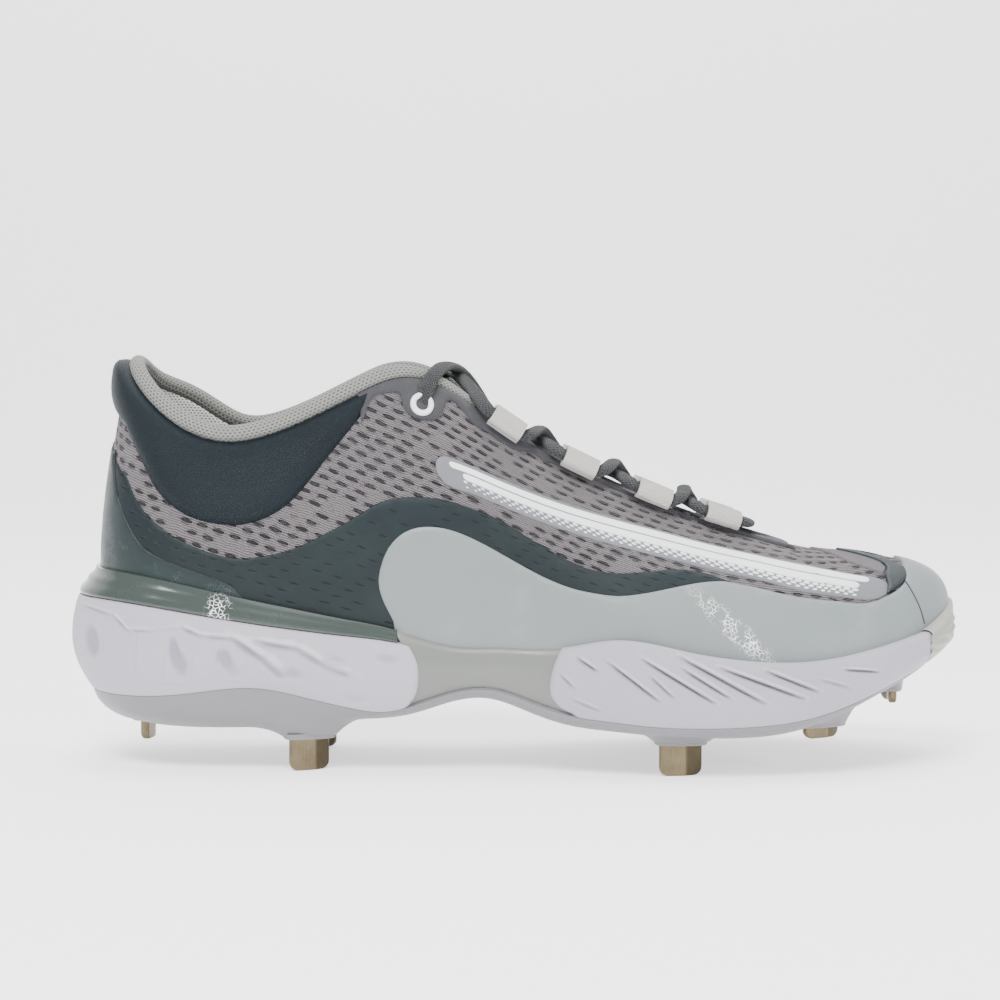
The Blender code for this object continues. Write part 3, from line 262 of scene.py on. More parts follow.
# Ends of the foam blocks in the side view. level: of HEEL_SEAT. The rest: of LENGTH, from the middle.
BLOCK_ENDS = (
    # level, heel_front, forefoot_back, forefoot_front
    (0.00, -0.150, 0.090, 0.440),
    (0.42, -0.124, 0.066, 0.448),
    (0.52, -0.114, 0.046, 0.453),
    (0.62, -0.106, 0.036, 0.457),
    (0.78, -0.104, 0.038, 0.462),
    (0.92, -0.110, 0.046, 0.464),
    (1.06, -0.121, 0.058, 0.464),
    (1.50, -0.150, 0.090, 0.462),
)

# Panels in the side view, both of LENGTH: along from the middle, and height.
COLLAR_PAD_EDGE = (
    (-0.520, 0.400), (-0.447, 0.397), (-0.429, 0.375), (-0.412, 0.342), (-0.395, 0.311), (-0.371, 0.289),
    (-0.347, 0.278), (-0.318, 0.273), (-0.298, 0.273), (-0.271, 0.281), (-0.246, 0.297),
    (-0.226, 0.319), (-0.204, 0.347), (-0.184, 0.372), (-0.164, 0.398), (-0.157, 0.416), (-0.157, 0.460),
)
QUARTER_EDGE = (
    (-0.520, 0.360), (-0.444, 0.360), (-0.428, 0.321), (-0.411, 0.290), (-0.389, 0.270), (-0.362, 0.254),
    (-0.338, 0.244), (-0.309, 0.237), (-0.282, 0.238), (-0.246, 0.246), (-0.205, 0.265),
    (-0.168, 0.286), (-0.150, 0.297), (-0.129, 0.303), (-0.103, 0.304), (-0.074, 0.300),
    (-0.044, 0.290), (-0.012, 0.276), (0.018, 0.258), (0.049, 0.240), (0.083, 0.226),
    (0.113, 0.222), (0.144, 0.223), (0.175, 0.225), (0.203, 0.221), (0.206, 0.190),
)
GUARD_EDGE = (
    (0.420, 0.300), (0.424, 0.260), (0.430, 0.227), (0.436, 0.216), (0.438, 0.206), (0.430, 0.197),
    (0.410, 0.188),
    (0.381, 0.183), (0.335, 0.189), (0.290, 0.197), (0.262, 0.204), (0.237, 0.209),
    (0.224, 0.211), (0.200, 0.210), (0.173, 0.206), (0.144, 0.201), (0.113, 0.198),
    (0.086, 0.201), (0.059, 0.207), (0.029, 0.219), (-0.003, 0.236), (-0.038, 0.255),
    (-0.069, 0.268), (-0.094, 0.272), (-0.114, 0.269), (-0.130, 0.259), (-0.142, 0.242),
    (-0.149, 0.217), (-0.146, 0.195), (-0.133, 0.168), (-0.124, 0.120),
)
COUNTER_EDGE = (
    (-0.447, 0.440), (-0.447, 0.390), (-0.445, 0.332), (-0.438, 0.300), (-0.425, 0.271), (-0.407, 0.247),
    (-0.381, 0.233), (-0.341, 0.219), (-0.319, 0.211), (-0.300, 0.197), (-0.292, 0.170), (-0.288, 0.130),
)

# Studs. along, across: of LENGTH and BALL_WIDTH, from the middle. turn: degrees of the blade from the
# shoe's length. foot and root: heights of the blade's and the boss's bottoms, of STACK_DEPTH.
# long and wide: the boss at the plate, of BLADE_WIDTH.
STUDS = (
    # name, along, across, turn, foot, root, long, wide
    ("heel_outer", -0.227, -0.295, 22.0, 0.000, 0.350, 2.40, 1.70),
    ("heel_inner", -0.227, 0.295, -22.0, 0.000, 0.350, 2.40, 1.70),
    ("heel_back", -0.415, 0.000, 78.0, 0.230, 0.450, 1.80, 1.40),
    ("ball_outer", 0.181, -0.430, 5.0, 0.000, 0.340, 1.80, 1.30),
    ("ball_inner", 0.191, 0.395, -5.0, 0.000, 0.340, 1.80, 1.30),
    ("fore_outer", 0.337, -0.345, 28.0, 0.380, 0.505, 1.70, 1.25),
    ("fore_inner", 0.345, 0.390, -28.0, 0.380, 0.505, 1.70, 1.25),
    ("toe", 0.428, 0.050, 84.0, 0.620, 0.760, 1.30, 0.75),
)

# Lace loops on each edge of the throat, by station of the top edge.
LOOP_STATIONS = (0.551, 0.605, 0.659, 0.714)
EYELET_ALONG = -0.103
EYELET_HEIGHT = 0.403


def spline(rows, column, level_start=True, level_end=True):
    """A cubic through one column of a table by its first column, level at an end unless told otherwise."""
    at = np.array([row[0] for row in rows], float)
    to = np.array([row[column] for row in rows], float)
    step = np.diff(at)
    rise = np.diff(to) / step
    count = len(at)
    matrix = np.eye(count)
    side = np.zeros(count)
    for i in range(1, count - 1):
        matrix[i, i - 1 : i + 2] = step[i], 2 * (step[i - 1] + step[i]), step[i - 1]
        side[i] = 3 * (step[i] * rise[i - 1] + step[i - 1] * rise[i])
    if not level_start:
        matrix[0, :2] = 2, 1
        side[0] = 3 * rise[0]
    if not level_end:
        matrix[-1, -2:] = 1, 2
        side[-1] = 3 * rise[-1]
    slope = np.linalg.solve(matrix, side)

    def value(where):
        where = np.clip(where, at[0], at[-1])
        i = np.clip(np.searchsorted(at, where) - 1, 0, count - 2)
        t = (where - at[i]) / step[i]
        return (
            to[i] * (1 + 2 * t) * (1 - t) ** 2
            + to[i + 1] * t * t * (3 - 2 * t)
            + slope[i] * step[i] * t * (1 - t) ** 2
            - slope[i + 1] * step[i] * t * t * (1 - t)
        )

    return value


FEATHER_CURVES = [spline(FEATHER, column, level_start=False) for column in range(1, 5)]
TOP_CURVES = [spline(TOP_EDGE, column, level_start=column != 2) for column in range(1, 8)]
RIB_CURVES = [spline(RIB, column) for column in range(1, 5)]
SOLE_CURVES = dict(
    zip(("drop", "spring", "rim", "shelf", "foam", "plate"), [spline(SOLE, i) for i in range(1, 7)])
)
SKIRT_CURVES = dict(
    zip(("flare", "flange", "wrap", "tuck", "under", "lean"), [spline(SKIRT, i) for i in range(1, 7)])
)


def unit(vectors):
    return vectors / np.linalg.norm(vectors, axis=-1, keepdims=True)


def run_of(line):
    """The distance along a line to each of its points."""
    return np.concatenate(([0.0], np.cumsum(np.linalg.norm(np.diff(line, axis=0), axis=1))))


def bezier(start, first, second, end, t):
    return start * (1 - t) ** 3 + 3 * first * t * (1 - t) ** 2 + 3 * second * t * t * (1 - t) + end * t**3


def leftward(line):
    """The way to the left of a line of the plane at each of its points."""
    run = unit(np.gradient(line, axis=0))
    return np.stack((-run[:, 1], run[:, 0]), axis=-1)


def wrapped(station):
    """A station between -1 and 1: 0 is the back of the heel, 1 the toe, and below 0 is the outer side."""
    return (np.asarray(station, float) + 1.0) % 2.0 - 1.0


def share_of(station):
    return (1 - np.cos(np.pi * station)) / 2


def bed_height(share):
    drop = SOLE_CURVES["drop"](share)
    return BALL_SEAT + (HEEL_SEAT - BALL_SEAT) * drop + TOE_SPRING * SOLE_CURVES["spring"](share)


def feather(station):
    """A point of the upper's bottom edge."""
    station = wrapped(station)
    share = share_of(station)
    heel, outer, inner, sway = (curve(share) for curve in FEATHER_CURVES)
    width = heel * HEEL_WIDTH + np.where(station < 0, outer, inner) * BALL_WIDTH
    return np.stack(
        (
            FEATHER_START + FEATHER_LENGTH * share,
            sway * TOE_SWAY + np.sin(np.pi * station) * width,
            bed_height(share),
        ),
        axis=-1,
    )


def outward(station):
    """The level direction straight out of the bottom edge."""
    nudge = 1e-4
    run = feather(np.asarray(station) + nudge) - feather(np.asarray(station) - nudge)
    out = np.stack((-run[..., 1], run[..., 0], np.zeros_like(run[..., 0])), axis=-1)
    return unit(out)


def top_edge(station):
    station = wrapped(station)
    along, ankle, throat, tab, instep, vamp, sway = (curve(np.abs(station)) for curve in TOP_CURVES)
    into_end = np.clip((np.abs(station) - THROAT_ROUND) / (THROAT_END - THROAT_ROUND), 0.0, 1.0)
    half = (ankle * ANKLE_WIDTH + throat * THROAT_WIDTH) * np.sqrt(1 - into_end**2)
    return np.stack(
        (
            along * LENGTH,
            sway * TOE_SWAY + np.sign(station) * half,
            tab * TAB_HEIGHT + instep * INSTEP_HEIGHT + vamp * VAMP_HEIGHT
            + INNER_COLLAR_RISE * np.exp(-(((station - INNER_COLLAR_AT) / INNER_COLLAR_WIDTH) ** 2)),
        ),
        axis=-1,
    )


def skin(station, rise):
    """The outer face of the upper: rise goes from 0 at the bottom edge to 1 at the top edge or ridge."""
    station, rise = np.broadcast_arrays(np.asarray(station, float), np.asarray(rise, float))
    low_pull, splay, high_pull, slope = (curve(np.abs(wrapped(station))) for curve in RIB_CURVES)
    splay = np.radians(splay)[..., None]
    slope = np.radians(slope)[..., None]
    up = np.array((0.0, 0.0, 1.0))
    low = feather(station)
    high = top_edge(station)
    out = outward(station)
    span = np.linalg.norm(high - low, axis=-1, keepdims=True)
    lead = unit((low - high) * (1, 1, 0) + out * LENGTH / 15)
    low_hold = low + (out * np.sin(splay) + up * np.cos(splay)) * span * low_pull[..., None]
    high_hold = high + (lead * np.cos(slope) - up * np.sin(slope)) * span * high_pull[..., None]
    front = np.exp(-(((1 - np.abs(wrapped(station))) / TOE_FULL_WIDTH) ** 2))
    swell = TOE_FULL * front * np.sin(np.pi * np.clip(rise, 0.0, 1.0) ** 0.6)
    return bezier(low, low_hold, high_hold, high, rise[..., None]) + out * swell[..., None]


def skin_normal(station, rise):
    nudge = 1e-3
    rise = np.clip(rise, nudge, 1 - 2 * nudge)
    along = skin(np.asarray(station) + nudge, rise) - skin(np.asarray(station) - nudge, rise)
    up = skin(station, rise + nudge) - skin(station, rise - nudge)
    return unit(np.cross(up, along))


def lifted(station, rise, lift):
    return skin(station, rise) + skin_normal(station, rise) * np.asarray(lift)[..., None]


def smooth_line(points, pieces=3):
    """More points on a rounded line through the given ones."""
    points = np.asarray(points, float)
    ends = np.vstack((2 * points[0] - points[1], points, 2 * points[-1] - points[-2]))
    line = []
    for i in range(1, len(points)):
        before, start, end, after = ends[i - 1], ends[i], ends[i + 1], ends[i + 2]
        for t in np.arange(pieces) / pieces:
            line.append(
                0.5
                * (
                    2 * start
                    + (end - before) * t
                    + (2 * before - 5 * start + 4 * end - after) * t * t
                    + (3 * start - before - 3 * end + after) * t**3
                )
            )
    line.append(points[-1])
    return np.array(line)


def bumper_climb(station):
    """How far round the bumper a station is, from 0 at its start to 1 at the tip of the toe."""
    return np.clip((np.abs(wrapped(station)) - BUMPER_START) / (1 - BUMPER_START), 0.0, 1.0)


def throat_frame(station):
    """A point of the throat's edge, the ways along it to the toe and out of the shoe, and from the throat."""
    sign = 1.0 if station > 0 else -1.0
    point = top_edge(station)
    nudge = 0.004 * sign
    along = unit(top_edge(station + nudge) - top_edge(station - nudge))
    out = skin_normal(station, 0.97)
    out = unit(out - along * np.dot(out, along))
    away = np.cross(along, out) * sign
    if np.dot(away, skin(station, 0.9) - point) < 0:
        away = -away
    return point, along, out, away


def loop_centre(station):
    """The middle of a loop's hollow, over the eyestay at the throat's edge."""
    point, _, out, away = throat_frame(station)
    lift = LAYER_GAP + STAY_THICK + LAYER_GAP + LOOP_WALL + LACE_ROOM + LACE_THICK / 2
    lower = INNER_LOOP_DROP if station > 0 else 0.0
    return point + out * lift + away * (LOOP_REACH / 2 - LOOP_HANG + lower)


# The camera of the photograph
TARGET = np.array((-0.0049, 0.0, 0.0878))
DISTANCE = 1.0
TILT = math.radians(4.0)
PIXEL = 0.000339
FRAME = 1000
SENSOR = 36.0
FORWARD = np.array((0.0, math.cos(TILT), -math.sin(TILT)))
CAMERA_UP = np.array((0.0, math.sin(TILT), math.cos(TILT)))


def pixels(points):
    """Where points show in the photograph, in its pixels."""
    away = points - TARGET
    scale = PIXEL * (1 + away @ FORWARD / DISTANCE)
    return np.stack((FRAME / 2 + away[..., 0] / scale, FRAME / 2 - away @ CAMERA_UP / scale), axis=-1)


def flat_xz(points):
    return points[..., (0, 2)] / LENGTH


def finder(view):
    """A search of the outer side of the skin by a view of it."""
    s, r = np.meshgrid(-np.linspace(0.003, 0.999, 300), np.linspace(0.0, 1.0, 140), indexing="ij")
    seen = view(skin(s, r))
    facing = skin_normal(s, r) @ FORWARD < 0.12
    seen = np.where(facing[..., None], seen, 1e9)
    flat = seen.reshape(-1, 2)

    def find(places):
        places = np.asarray(places, float)
        found = []
        for place in places:
            best = np.argmin(((flat - place) ** 2).sum(axis=1))
            found.append((s.ravel()[best], r.ravel()[best]))
        found = np.array(found)
        reach = np.array((0.006, 0.014))
        for _ in range(4):
            ds, dr = np.meshgrid(np.linspace(-1, 1, 9), np.linspace(-1, 1, 9), indexing="ij")
            ss = np.clip(found[:, 0, None, None] + ds * reach[0], -0.9995, -0.0005)
            rr = np.clip(found[:, 1, None, None] + dr * reach[1], 0.0, 1.0)
            miss = ((view(skin(ss, rr)) - places[:, None, None]) ** 2).sum(axis=-1)
            best = miss.reshape(len(places), -1).argmin(axis=1)
            spots = np.stack((ss.reshape(len(places), -1), rr.reshape(len(places), -1)), axis=-1)
            found = spots[range(len(places)), best]
            reach = reach * 0.3
        return found

    return find


by_pixel = finder(pixels)
by_side = finder(flat_xz)

# Distances along the skin: round the shoe at mid height, and up each rib
ROUND_S = np.linspace(0.0, 1.0, 401)
ROUND = run_of(skin(ROUND_S, 0.5))
RIB_SPOTS = np.linspace(0.0, 1.0, 41)
RIB_LENGTH = {
    side: np.linalg.norm(np.diff(skin(side * ROUND_S[:, None], RIB_SPOTS[None]), axis=1), axis=2).sum(axis=1)
    for side in (-1, 1)
}
PLANE_RISE = 0.1
EDGE_STEP = 0.0012


def along_of(s):
    """Distance round the shoe of a station that may run past the toe."""
    s = np.asarray(s, float)
    past = np.abs(s) > 1
    inner = np.interp(np.where(past, 2 - np.abs(s), np.abs(s)), ROUND_S, ROUND)
    return np.sign(s) * np.where(past, 2 * ROUND[-1] - inner, inner)


def station_of(along):
    along = np.asarray(along, float)
    past = np.abs(along) > ROUND[-1]
    inner = np.interp(np.where(past, 2 * ROUND[-1] - np.abs(along), np.abs(along)), ROUND, ROUND_S)
    return np.sign(along) * np.where(past, 2 - inner, inner)


def pattern_uv(s, r):
    """Metres round and up the skin, for weaves and prints."""
    w = wrapped(s)
    rib = np.where(w < 0, np.interp(-w, ROUND_S, RIB_LENGTH[-1]), np.interp(w, ROUND_S, RIB_LENGTH[1]))
    return np.stack((along_of(s), r * rib), axis=-1)


def rises_at(stations, heights):
    """The rises at which ribs reach heights."""
    stations = np.atleast_1d(np.asarray(stations, float))
    heights = np.broadcast_to(heights, stations.shape)
    rises = np.linspace(0.0, 1.0, 161)
    levels = np.maximum.accumulate(skin(stations[:, None], rises[None])[..., 2], axis=1)
    return np.array([np.interp(h, row, rises) for h, row in zip(heights, levels)])


def make(name, verts, faces, mat, uvs=None, replaces=(), angle=None, weld=0.0, marks_and_shade=None):
    """One piece of the shoe; marks is a value at each point for its material."""
    mesh = bpy.data.meshes.new(name)
    mesh.from_pydata(np.asarray(verts, float).tolist(), [], [tuple(int(i) for i in f) for f in faces])
    if uvs is not None:
        skin_map = mesh.uv_layers.new(name="skin")
        corner = np.empty(len(mesh.loops), int)
        mesh.loops.foreach_get("vertex_index", corner)
        skin_map.data.foreach_set("uv", np.asarray(uvs, float)[corner].ravel())
    if marks_and_shade is not None:
        mesh.attributes.new("marks_and_shade", "FLOAT", "POINT").data.foreach_set("value", np.asarray(marks_and_shade, float))
    shape = bmesh.new()
    shape.from_mesh(mesh)
    if weld:
        bmesh.ops.remove_doubles(shape, verts=shape.verts, dist=weld)
    bmesh.ops.dissolve_degenerate(shape, edges=shape.edges, dist=1e-7)
    bmesh.ops.recalc_face_normals(shape, faces=shape.faces)
    shape.to_mesh(mesh)
    shape.free()
    mesh.shade_smooth()
    if angle:
        mesh.set_sharp_from_angle(angle=math.radians(angle))
    obj = bpy.data.objects.new(name, mesh)
    bpy.context.scene.collection.objects.link(obj)
    mesh.materials.append(mat)
    if replaces:
        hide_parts(*replaces)
    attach(obj, "root")
    return obj


def grid_faces(rows, columns, closed_rows=False, closed_columns=False, start=0):
    faces = []
    for i in range(rows if closed_rows else rows - 1):
        for k in range(columns if closed_columns else columns - 1):
            a, b = start + i * columns, start + ((i + 1) % rows) * columns
            m = (k + 1) % columns
            faces.append((a + k, a + m, b + m, b + k))
    return faces


def end_caps(rows, columns):
    """Faces that close the first and last rows of a grid."""
    return [tuple(range(columns)), tuple(range((rows - 1) * columns, rows * columns))[::-1]]


def tube(name, centres, sides, ups, shape, mat, replaces=(), scale=None):
    """A cross-section carried along a line; sides and ups are its two directions at each point."""
    centres = np.asarray(centres)
    shape = np.asarray(shape)
    if scale is None:
        scale = np.ones(len(centres))
    points = centres[:, None] + (
        sides[:, None] * shape[None, :, :1] + ups[:, None] * shape[None, :, 1:]
    ) * np.asarray(scale)[:, None, None]
    count = len(shape)
    run = run_of(centres)
    ring = run_of(shape) * np.mean(scale)
    uv = np.stack(np.broadcast_arrays(run[:, None], ring[None]), axis=-1)
    faces = grid_faces(len(centres), count, closed_columns=True) + end_caps(len(centres), count)
    return make(name, points.reshape(-1, 3), faces, mat, uv.reshape(-1, 2), replaces, angle=50)


def ring_of(width, thick, count=20, power=2.4):
    angles = (np.arange(count) + 0.5) * 2 * math.pi / count
    c, s = np.cos(angles), np.sin(angles)
    across = width / 2 * np.sign(c) * np.abs(c) ** (2 / power)
    up = thick / 2 * np.sign(s) * np.abs(s) ** (2 / power)
    return np.stack((across, up), axis=-1)


def frames(line, hint):
    """Sideways and upward directions along a line, from a hint of where up is at each point."""
    runs = unit(np.gradient(line, axis=0))
    sides = unit(np.cross(hint, runs))
    return sides, np.cross(runs, sides)


def nearest(points, loop):
    """Distance of each point of the plane from a closed line."""
    start, end = loop, np.roll(loop, -1, axis=0)
    run = end - start
    length = (run**2).sum(axis=1) + 1e-18
    best = np.full(len(points), 1e9)
    for i in range(0, len(points), 2000):
        part = points[i : i + 2000]
        away = part[:, None] - start[None]
        t = np.clip((away * run[None]).sum(axis=2) / length, 0, 1)
        best[i : i + 2000] = np.sqrt(((away - run[None] * t[..., None]) ** 2).sum(axis=2)).min(axis=1)
    return best


def within(points, loop):
    inside = np.zeros(len(points), bool)
    for (xa, ya), (xb, yb) in zip(loop, np.roll(loop, -1, axis=0)):
        if ya == yb:
            continue
        crosses = (ya > points[:, 1]) != (yb > points[:, 1])
        inside ^= crosses & (points[:, 0] < (xb - xa) * (points[:, 1] - ya) / (yb - ya) + xa)
    return inside


def even(line, step, closed=True):
    """Points evenly along a line."""
    if closed:
        line = np.vstack((line, line[:1]))
    run = run_of(line)
    count = max(3, int(round(run[-1] / step)))
    at = np.linspace(0.0, run[-1], count + 1)
    if closed:
        at = at[:-1]
    return np.stack([np.interp(at, run, line[:, k]) for k in range(2)], axis=-1)


def flat_of(sr):
    return np.stack((along_of(sr[:, 0]), sr[:, 1] * PLANE_RISE), axis=-1)


def layer(
    name, loop, lift_of, mat, step=0.0024, rings=(0.00018, 0.0005), replaces=(), rise=None,
):
    """A layer over the skin inside a closed line of stations and rises, as thick as lift_of says."""
    outline = even(flat_of(np.asarray(loop, float)), EDGE_STEP)
    turn = (outline[:, 0] * np.roll(outline[:, 1], -1) - np.roll(outline[:, 0], -1) * outline[:, 1]).sum()
    if turn < 0:
        outline = outline[::-1]
    run = np.roll(outline, -1, axis=0) - np.roll(outline, 1, axis=0)
    run /= np.linalg.norm(run, axis=1, keepdims=True) + 1e-12
    inward = np.stack((-run[:, 1], run[:, 0]), axis=-1)
    spots = [outline]
    for depth in rings:
        ring = outline + inward * depth
        spots.append(ring[(nearest(ring, outline) > depth * 0.8) & within(ring, outline)])
    low, high = outline.min(axis=0), outline.max(axis=0)
    x, y = np.meshgrid(
        np.arange(low[0], high[0], step),
        np.arange(low[1], high[1], step * 0.87 * PLANE_RISE / 0.09),
        indexing="ij",
    )
    x[:, 1::2] += step / 2
    field = np.stack((x.ravel(), y.ravel()), axis=-1)
    field = field[within(field, outline)]
    field = field[nearest(field, outline) > rings[-1] + step * 0.45]
    spots.append(field)
    places = np.vstack(spots)
    count = len(outline)
    edges = [(i, (i + 1) % count) for i in range(count)]
    verts, _, faces, *_ = delaunay_2d_cdt([Vector(p) for p in places * 1000], edges, [], 1, 1e-5)
    flat = np.array([tuple(v) for v in verts]) / 1000
    depth = nearest(flat, outline)
    s = station_of(flat[:, 0])
    r = flat[:, 1] / PLANE_RISE
    points = lifted(s, r, lift_of(depth, s, r))
    if rise is not None:
        points += rise(s, r, depth)
    return make(name, points, faces, mat, pattern_uv(s, r), replaces)


def film_lift(thick, width):
    """A film's height over the skin by the distance from its edge."""

    def lift(depth, *_):
        t = 1 - np.clip(depth / width, 0, 1)
        return (thick + FILM_FOOT) * np.sqrt(1 - t * t) - FILM_FOOT

    return lift


# Materials, built from sums of nodes

# Patterns, in mm: rows and steps of the mesh's holes, of the film's dashes and of the roll's dots
THREADS_PER_MM = 1.12
STITCHES_PER_MM = 1.15
MESH_LEAN = 0.25
MESH_WAVE = 5.4
HOLE_ROW = 3.5
HOLE_STEP = 6.1
HOLE_LONG = 2.05
HOLE_TALL = 0.74
DASH_LEAN = 0.22
DASH_ROW = 3.4
DASH_STEP = 6.6
DASH_LONG = 1.5
DASH_TALL = 0.35
ROLL_ROW = 0.95
ROLL_STEP = 1.55
ROLL_LONG = 0.46
ROLL_TALL = 0.26
WEBBING_RIBS_PER_MM = 1.55
WEBBING_PICKS_PER_MM = 2.6
BRAID_ALONG_PER_MM = 0.95
BRAID_ACROSS_PER_MM = 0.85


class Sum:
    """A value in a material's nodes, with arithmetic."""

    def __init__(self, tree, socket):
        self.tree, self.socket = tree, socket

    def node(self, operation, *others):
        node = self.tree.nodes.new("ShaderNodeMath")
        node.operation = operation
        for slot_in, value in zip(node.inputs, (self, *others)):
            if isinstance(value, Sum):
                self.tree.links.new(value.socket, slot_in)
            else:
                slot_in.default_value = value
        return Sum(self.tree, node.outputs[0])

    def __add__(self, other):
        return self.node("ADD", other)

    def __sub__(self, other):
        return self.node("SUBTRACT", other)

    def __mul__(self, other):
        return self.node("MULTIPLY", other)

    def __truediv__(self, other):
        return self.node("DIVIDE", other)

    __radd__ = __add__
    __rmul__ = __mul__

    def sin(self):
        return self.node("SINE")

    def floor(self):
        return self.node("FLOOR")

    def fract(self):
        return self.node("FRACT")

    def abs(self):
        return self.node("ABSOLUTE")

    def root(self):
        return self.node("SQRT")

    def most(self, other):
        return self.node("MAXIMUM", other)

    def ramp(self, low, high, to_low=0.0, to_high=1.0):
        node = self.tree.nodes.new("ShaderNodeMapRange")
        node.interpolation_type = "SMOOTHSTEP"
        self.tree.links.new(self.socket, node.inputs["Value"])
        node.inputs["From Min"].default_value = low
        node.inputs["From Max"].default_value = high
        node.inputs["To Min"].default_value = to_low
        node.inputs["To Max"].default_value = to_high
        return Sum(self.tree, node.outputs[0])


def rgb(red, green, blue):
    """Linear colour from the 0 to 255 values that a screen shows."""
    shown = np.array((red, green, blue)) / 255
    linear = np.where(shown <= 0.04045, shown / 12.92, ((shown + 0.055) / 1.055) ** 2.4)
    return tuple(float(c) for c in linear)


class Finish:
    """A Principled material with helpers for its patterns."""

    def __init__(self, name, colour, rough=0.6, metal=0.0, coat=0.0, sheen=0.0, spec=0.5):
        self.mat = bpy.data.materials.new(name)
        self.mat.use_nodes = True
        self.tree = self.mat.node_tree
        self.shader = self.tree.nodes["Principled BSDF"]
        self.shader.inputs["Base Color"].default_value = (*rgb(*colour), 1.0)
        self.shader.inputs["Roughness"].default_value = rough
        self.shader.inputs["Metallic"].default_value = metal
        self.shader.inputs["Specular IOR Level"].default_value = spec
        self.shader.inputs["Coat Weight"].default_value = coat
        self.shader.inputs["Coat Roughness"].default_value = 0.12
        self.shader.inputs["Sheen Weight"].default_value = sheen
        self.shader.inputs["Sheen Roughness"].default_value = 0.5
        self.colour = None
        self.base = rgb(*colour)
        self.last_bump = None

    def skin_mm(self):
        uv = self.tree.nodes.new("ShaderNodeUVMap")
        uv.uv_map = "skin"
        split = self.tree.nodes.new("ShaderNodeSeparateXYZ")
        self.tree.links.new(uv.outputs[0], split.inputs[0])
        return Sum(self.tree, split.outputs[0]) * 1000.0, Sum(self.tree, split.outputs[1]) * 1000.0

    def place_mm(self):
        place = self.tree.nodes.new("ShaderNodeTexCoord")
        split = self.tree.nodes.new("ShaderNodeSeparateXYZ")
        self.tree.links.new(place.outputs["Object"], split.inputs[0])
        return [Sum(self.tree, split.outputs[k]) * 1000.0 for k in range(3)]

    def marks_and_shade(self):
        node = self.tree.nodes.new("ShaderNodeAttribute")
        node.attribute_name = "marks_and_shade"
        return Sum(self.tree, node.outputs["Fac"])

    def vector(self, x, y, z=0.0):
        node = self.tree.nodes.new("ShaderNodeCombineXYZ")
        for slot_in, value in zip(node.inputs, (x, y, z)):
            if isinstance(value, Sum):
                self.tree.links.new(value.socket, slot_in)
            else:
                slot_in.default_value = value
        return node.outputs[0]

    def noise(self, scale, detail=3.0, vector=None, seed=0.0):
        """Cloudy values from 0 to 1; scale is of a metre unless a vector is given."""
        node = self.tree.nodes.new("ShaderNodeTexNoise")
        node.noise_dimensions = "4D"
        node.inputs["W"].default_value = seed
        node.inputs["Scale"].default_value = scale
        node.inputs["Detail"].default_value = detail
        node.inputs["Roughness"].default_value = 0.55
        if vector is None:
            place = self.tree.nodes.new("ShaderNodeTexCoord")
            vector = place.outputs["Object"]
        self.tree.links.new(vector, node.inputs["Vector"])
        return Sum(self.tree, node.outputs["Fac"])

    def chance(self, x, y, seed=0.0):
        """A fixed random value for each pair of whole numbers."""
        node = self.tree.nodes.new("ShaderNodeTexWhiteNoise")
        node.noise_dimensions = "3D"
        self.tree.links.new(self.vector(x, y, seed), node.inputs["Vector"])
        return Sum(self.tree, node.outputs["Value"])

    def cells(self, scale):
        """Distance from the edges of irregular cells."""
        node = self.tree.nodes.new("ShaderNodeTexVoronoi")
        node.feature = "DISTANCE_TO_EDGE"
        node.inputs["Scale"].default_value = scale
        place = self.tree.nodes.new("ShaderNodeTexCoord")
        self.tree.links.new(place.outputs["Object"], node.inputs["Vector"])
        return Sum(self.tree, node.outputs["Distance"])

    def tint(self, amount, colour):
        """Mixes a colour in by an amount from 0 to 1."""
        node = self.tree.nodes.new("ShaderNodeMix")
        node.data_type = "RGBA"
        node.clamp_factor = True
        self.tree.links.new(amount.socket, node.inputs[0])
        if self.colour is None:
            node.inputs[6].default_value = (*self.base, 1.0)
        else:
            self.tree.links.new(self.colour, node.inputs[6])
        node.inputs[7].default_value = (*rgb(*colour), 1.0)
        self.colour = node.outputs[2]
        self.tree.links.new(self.colour, self.shader.inputs["Base Color"])
        return self

    def rough(self, value):
        self.tree.links.new(value.socket, self.shader.inputs["Roughness"])
        return self

    def bump(self, height, depth, strength=1.0):
        node = self.tree.nodes.new("ShaderNodeBump")
        node.inputs["Strength"].default_value = strength
        node.inputs["Distance"].default_value = depth
        self.tree.links.new(height.socket, node.inputs["Height"])
        if self.last_bump is not None:
            self.tree.links.new(self.last_bump, node.inputs["Normal"])
        self.last_bump = node.outputs[0]
        self.tree.links.new(self.last_bump, self.shader.inputs["Normal"])
        return self


def reach_of(x, y):
    """The distance of a place from an oval's middle, 1 at its edge."""
    return (x.node("POWER", 2.0) + y.node("POWER", 2.0)).root()


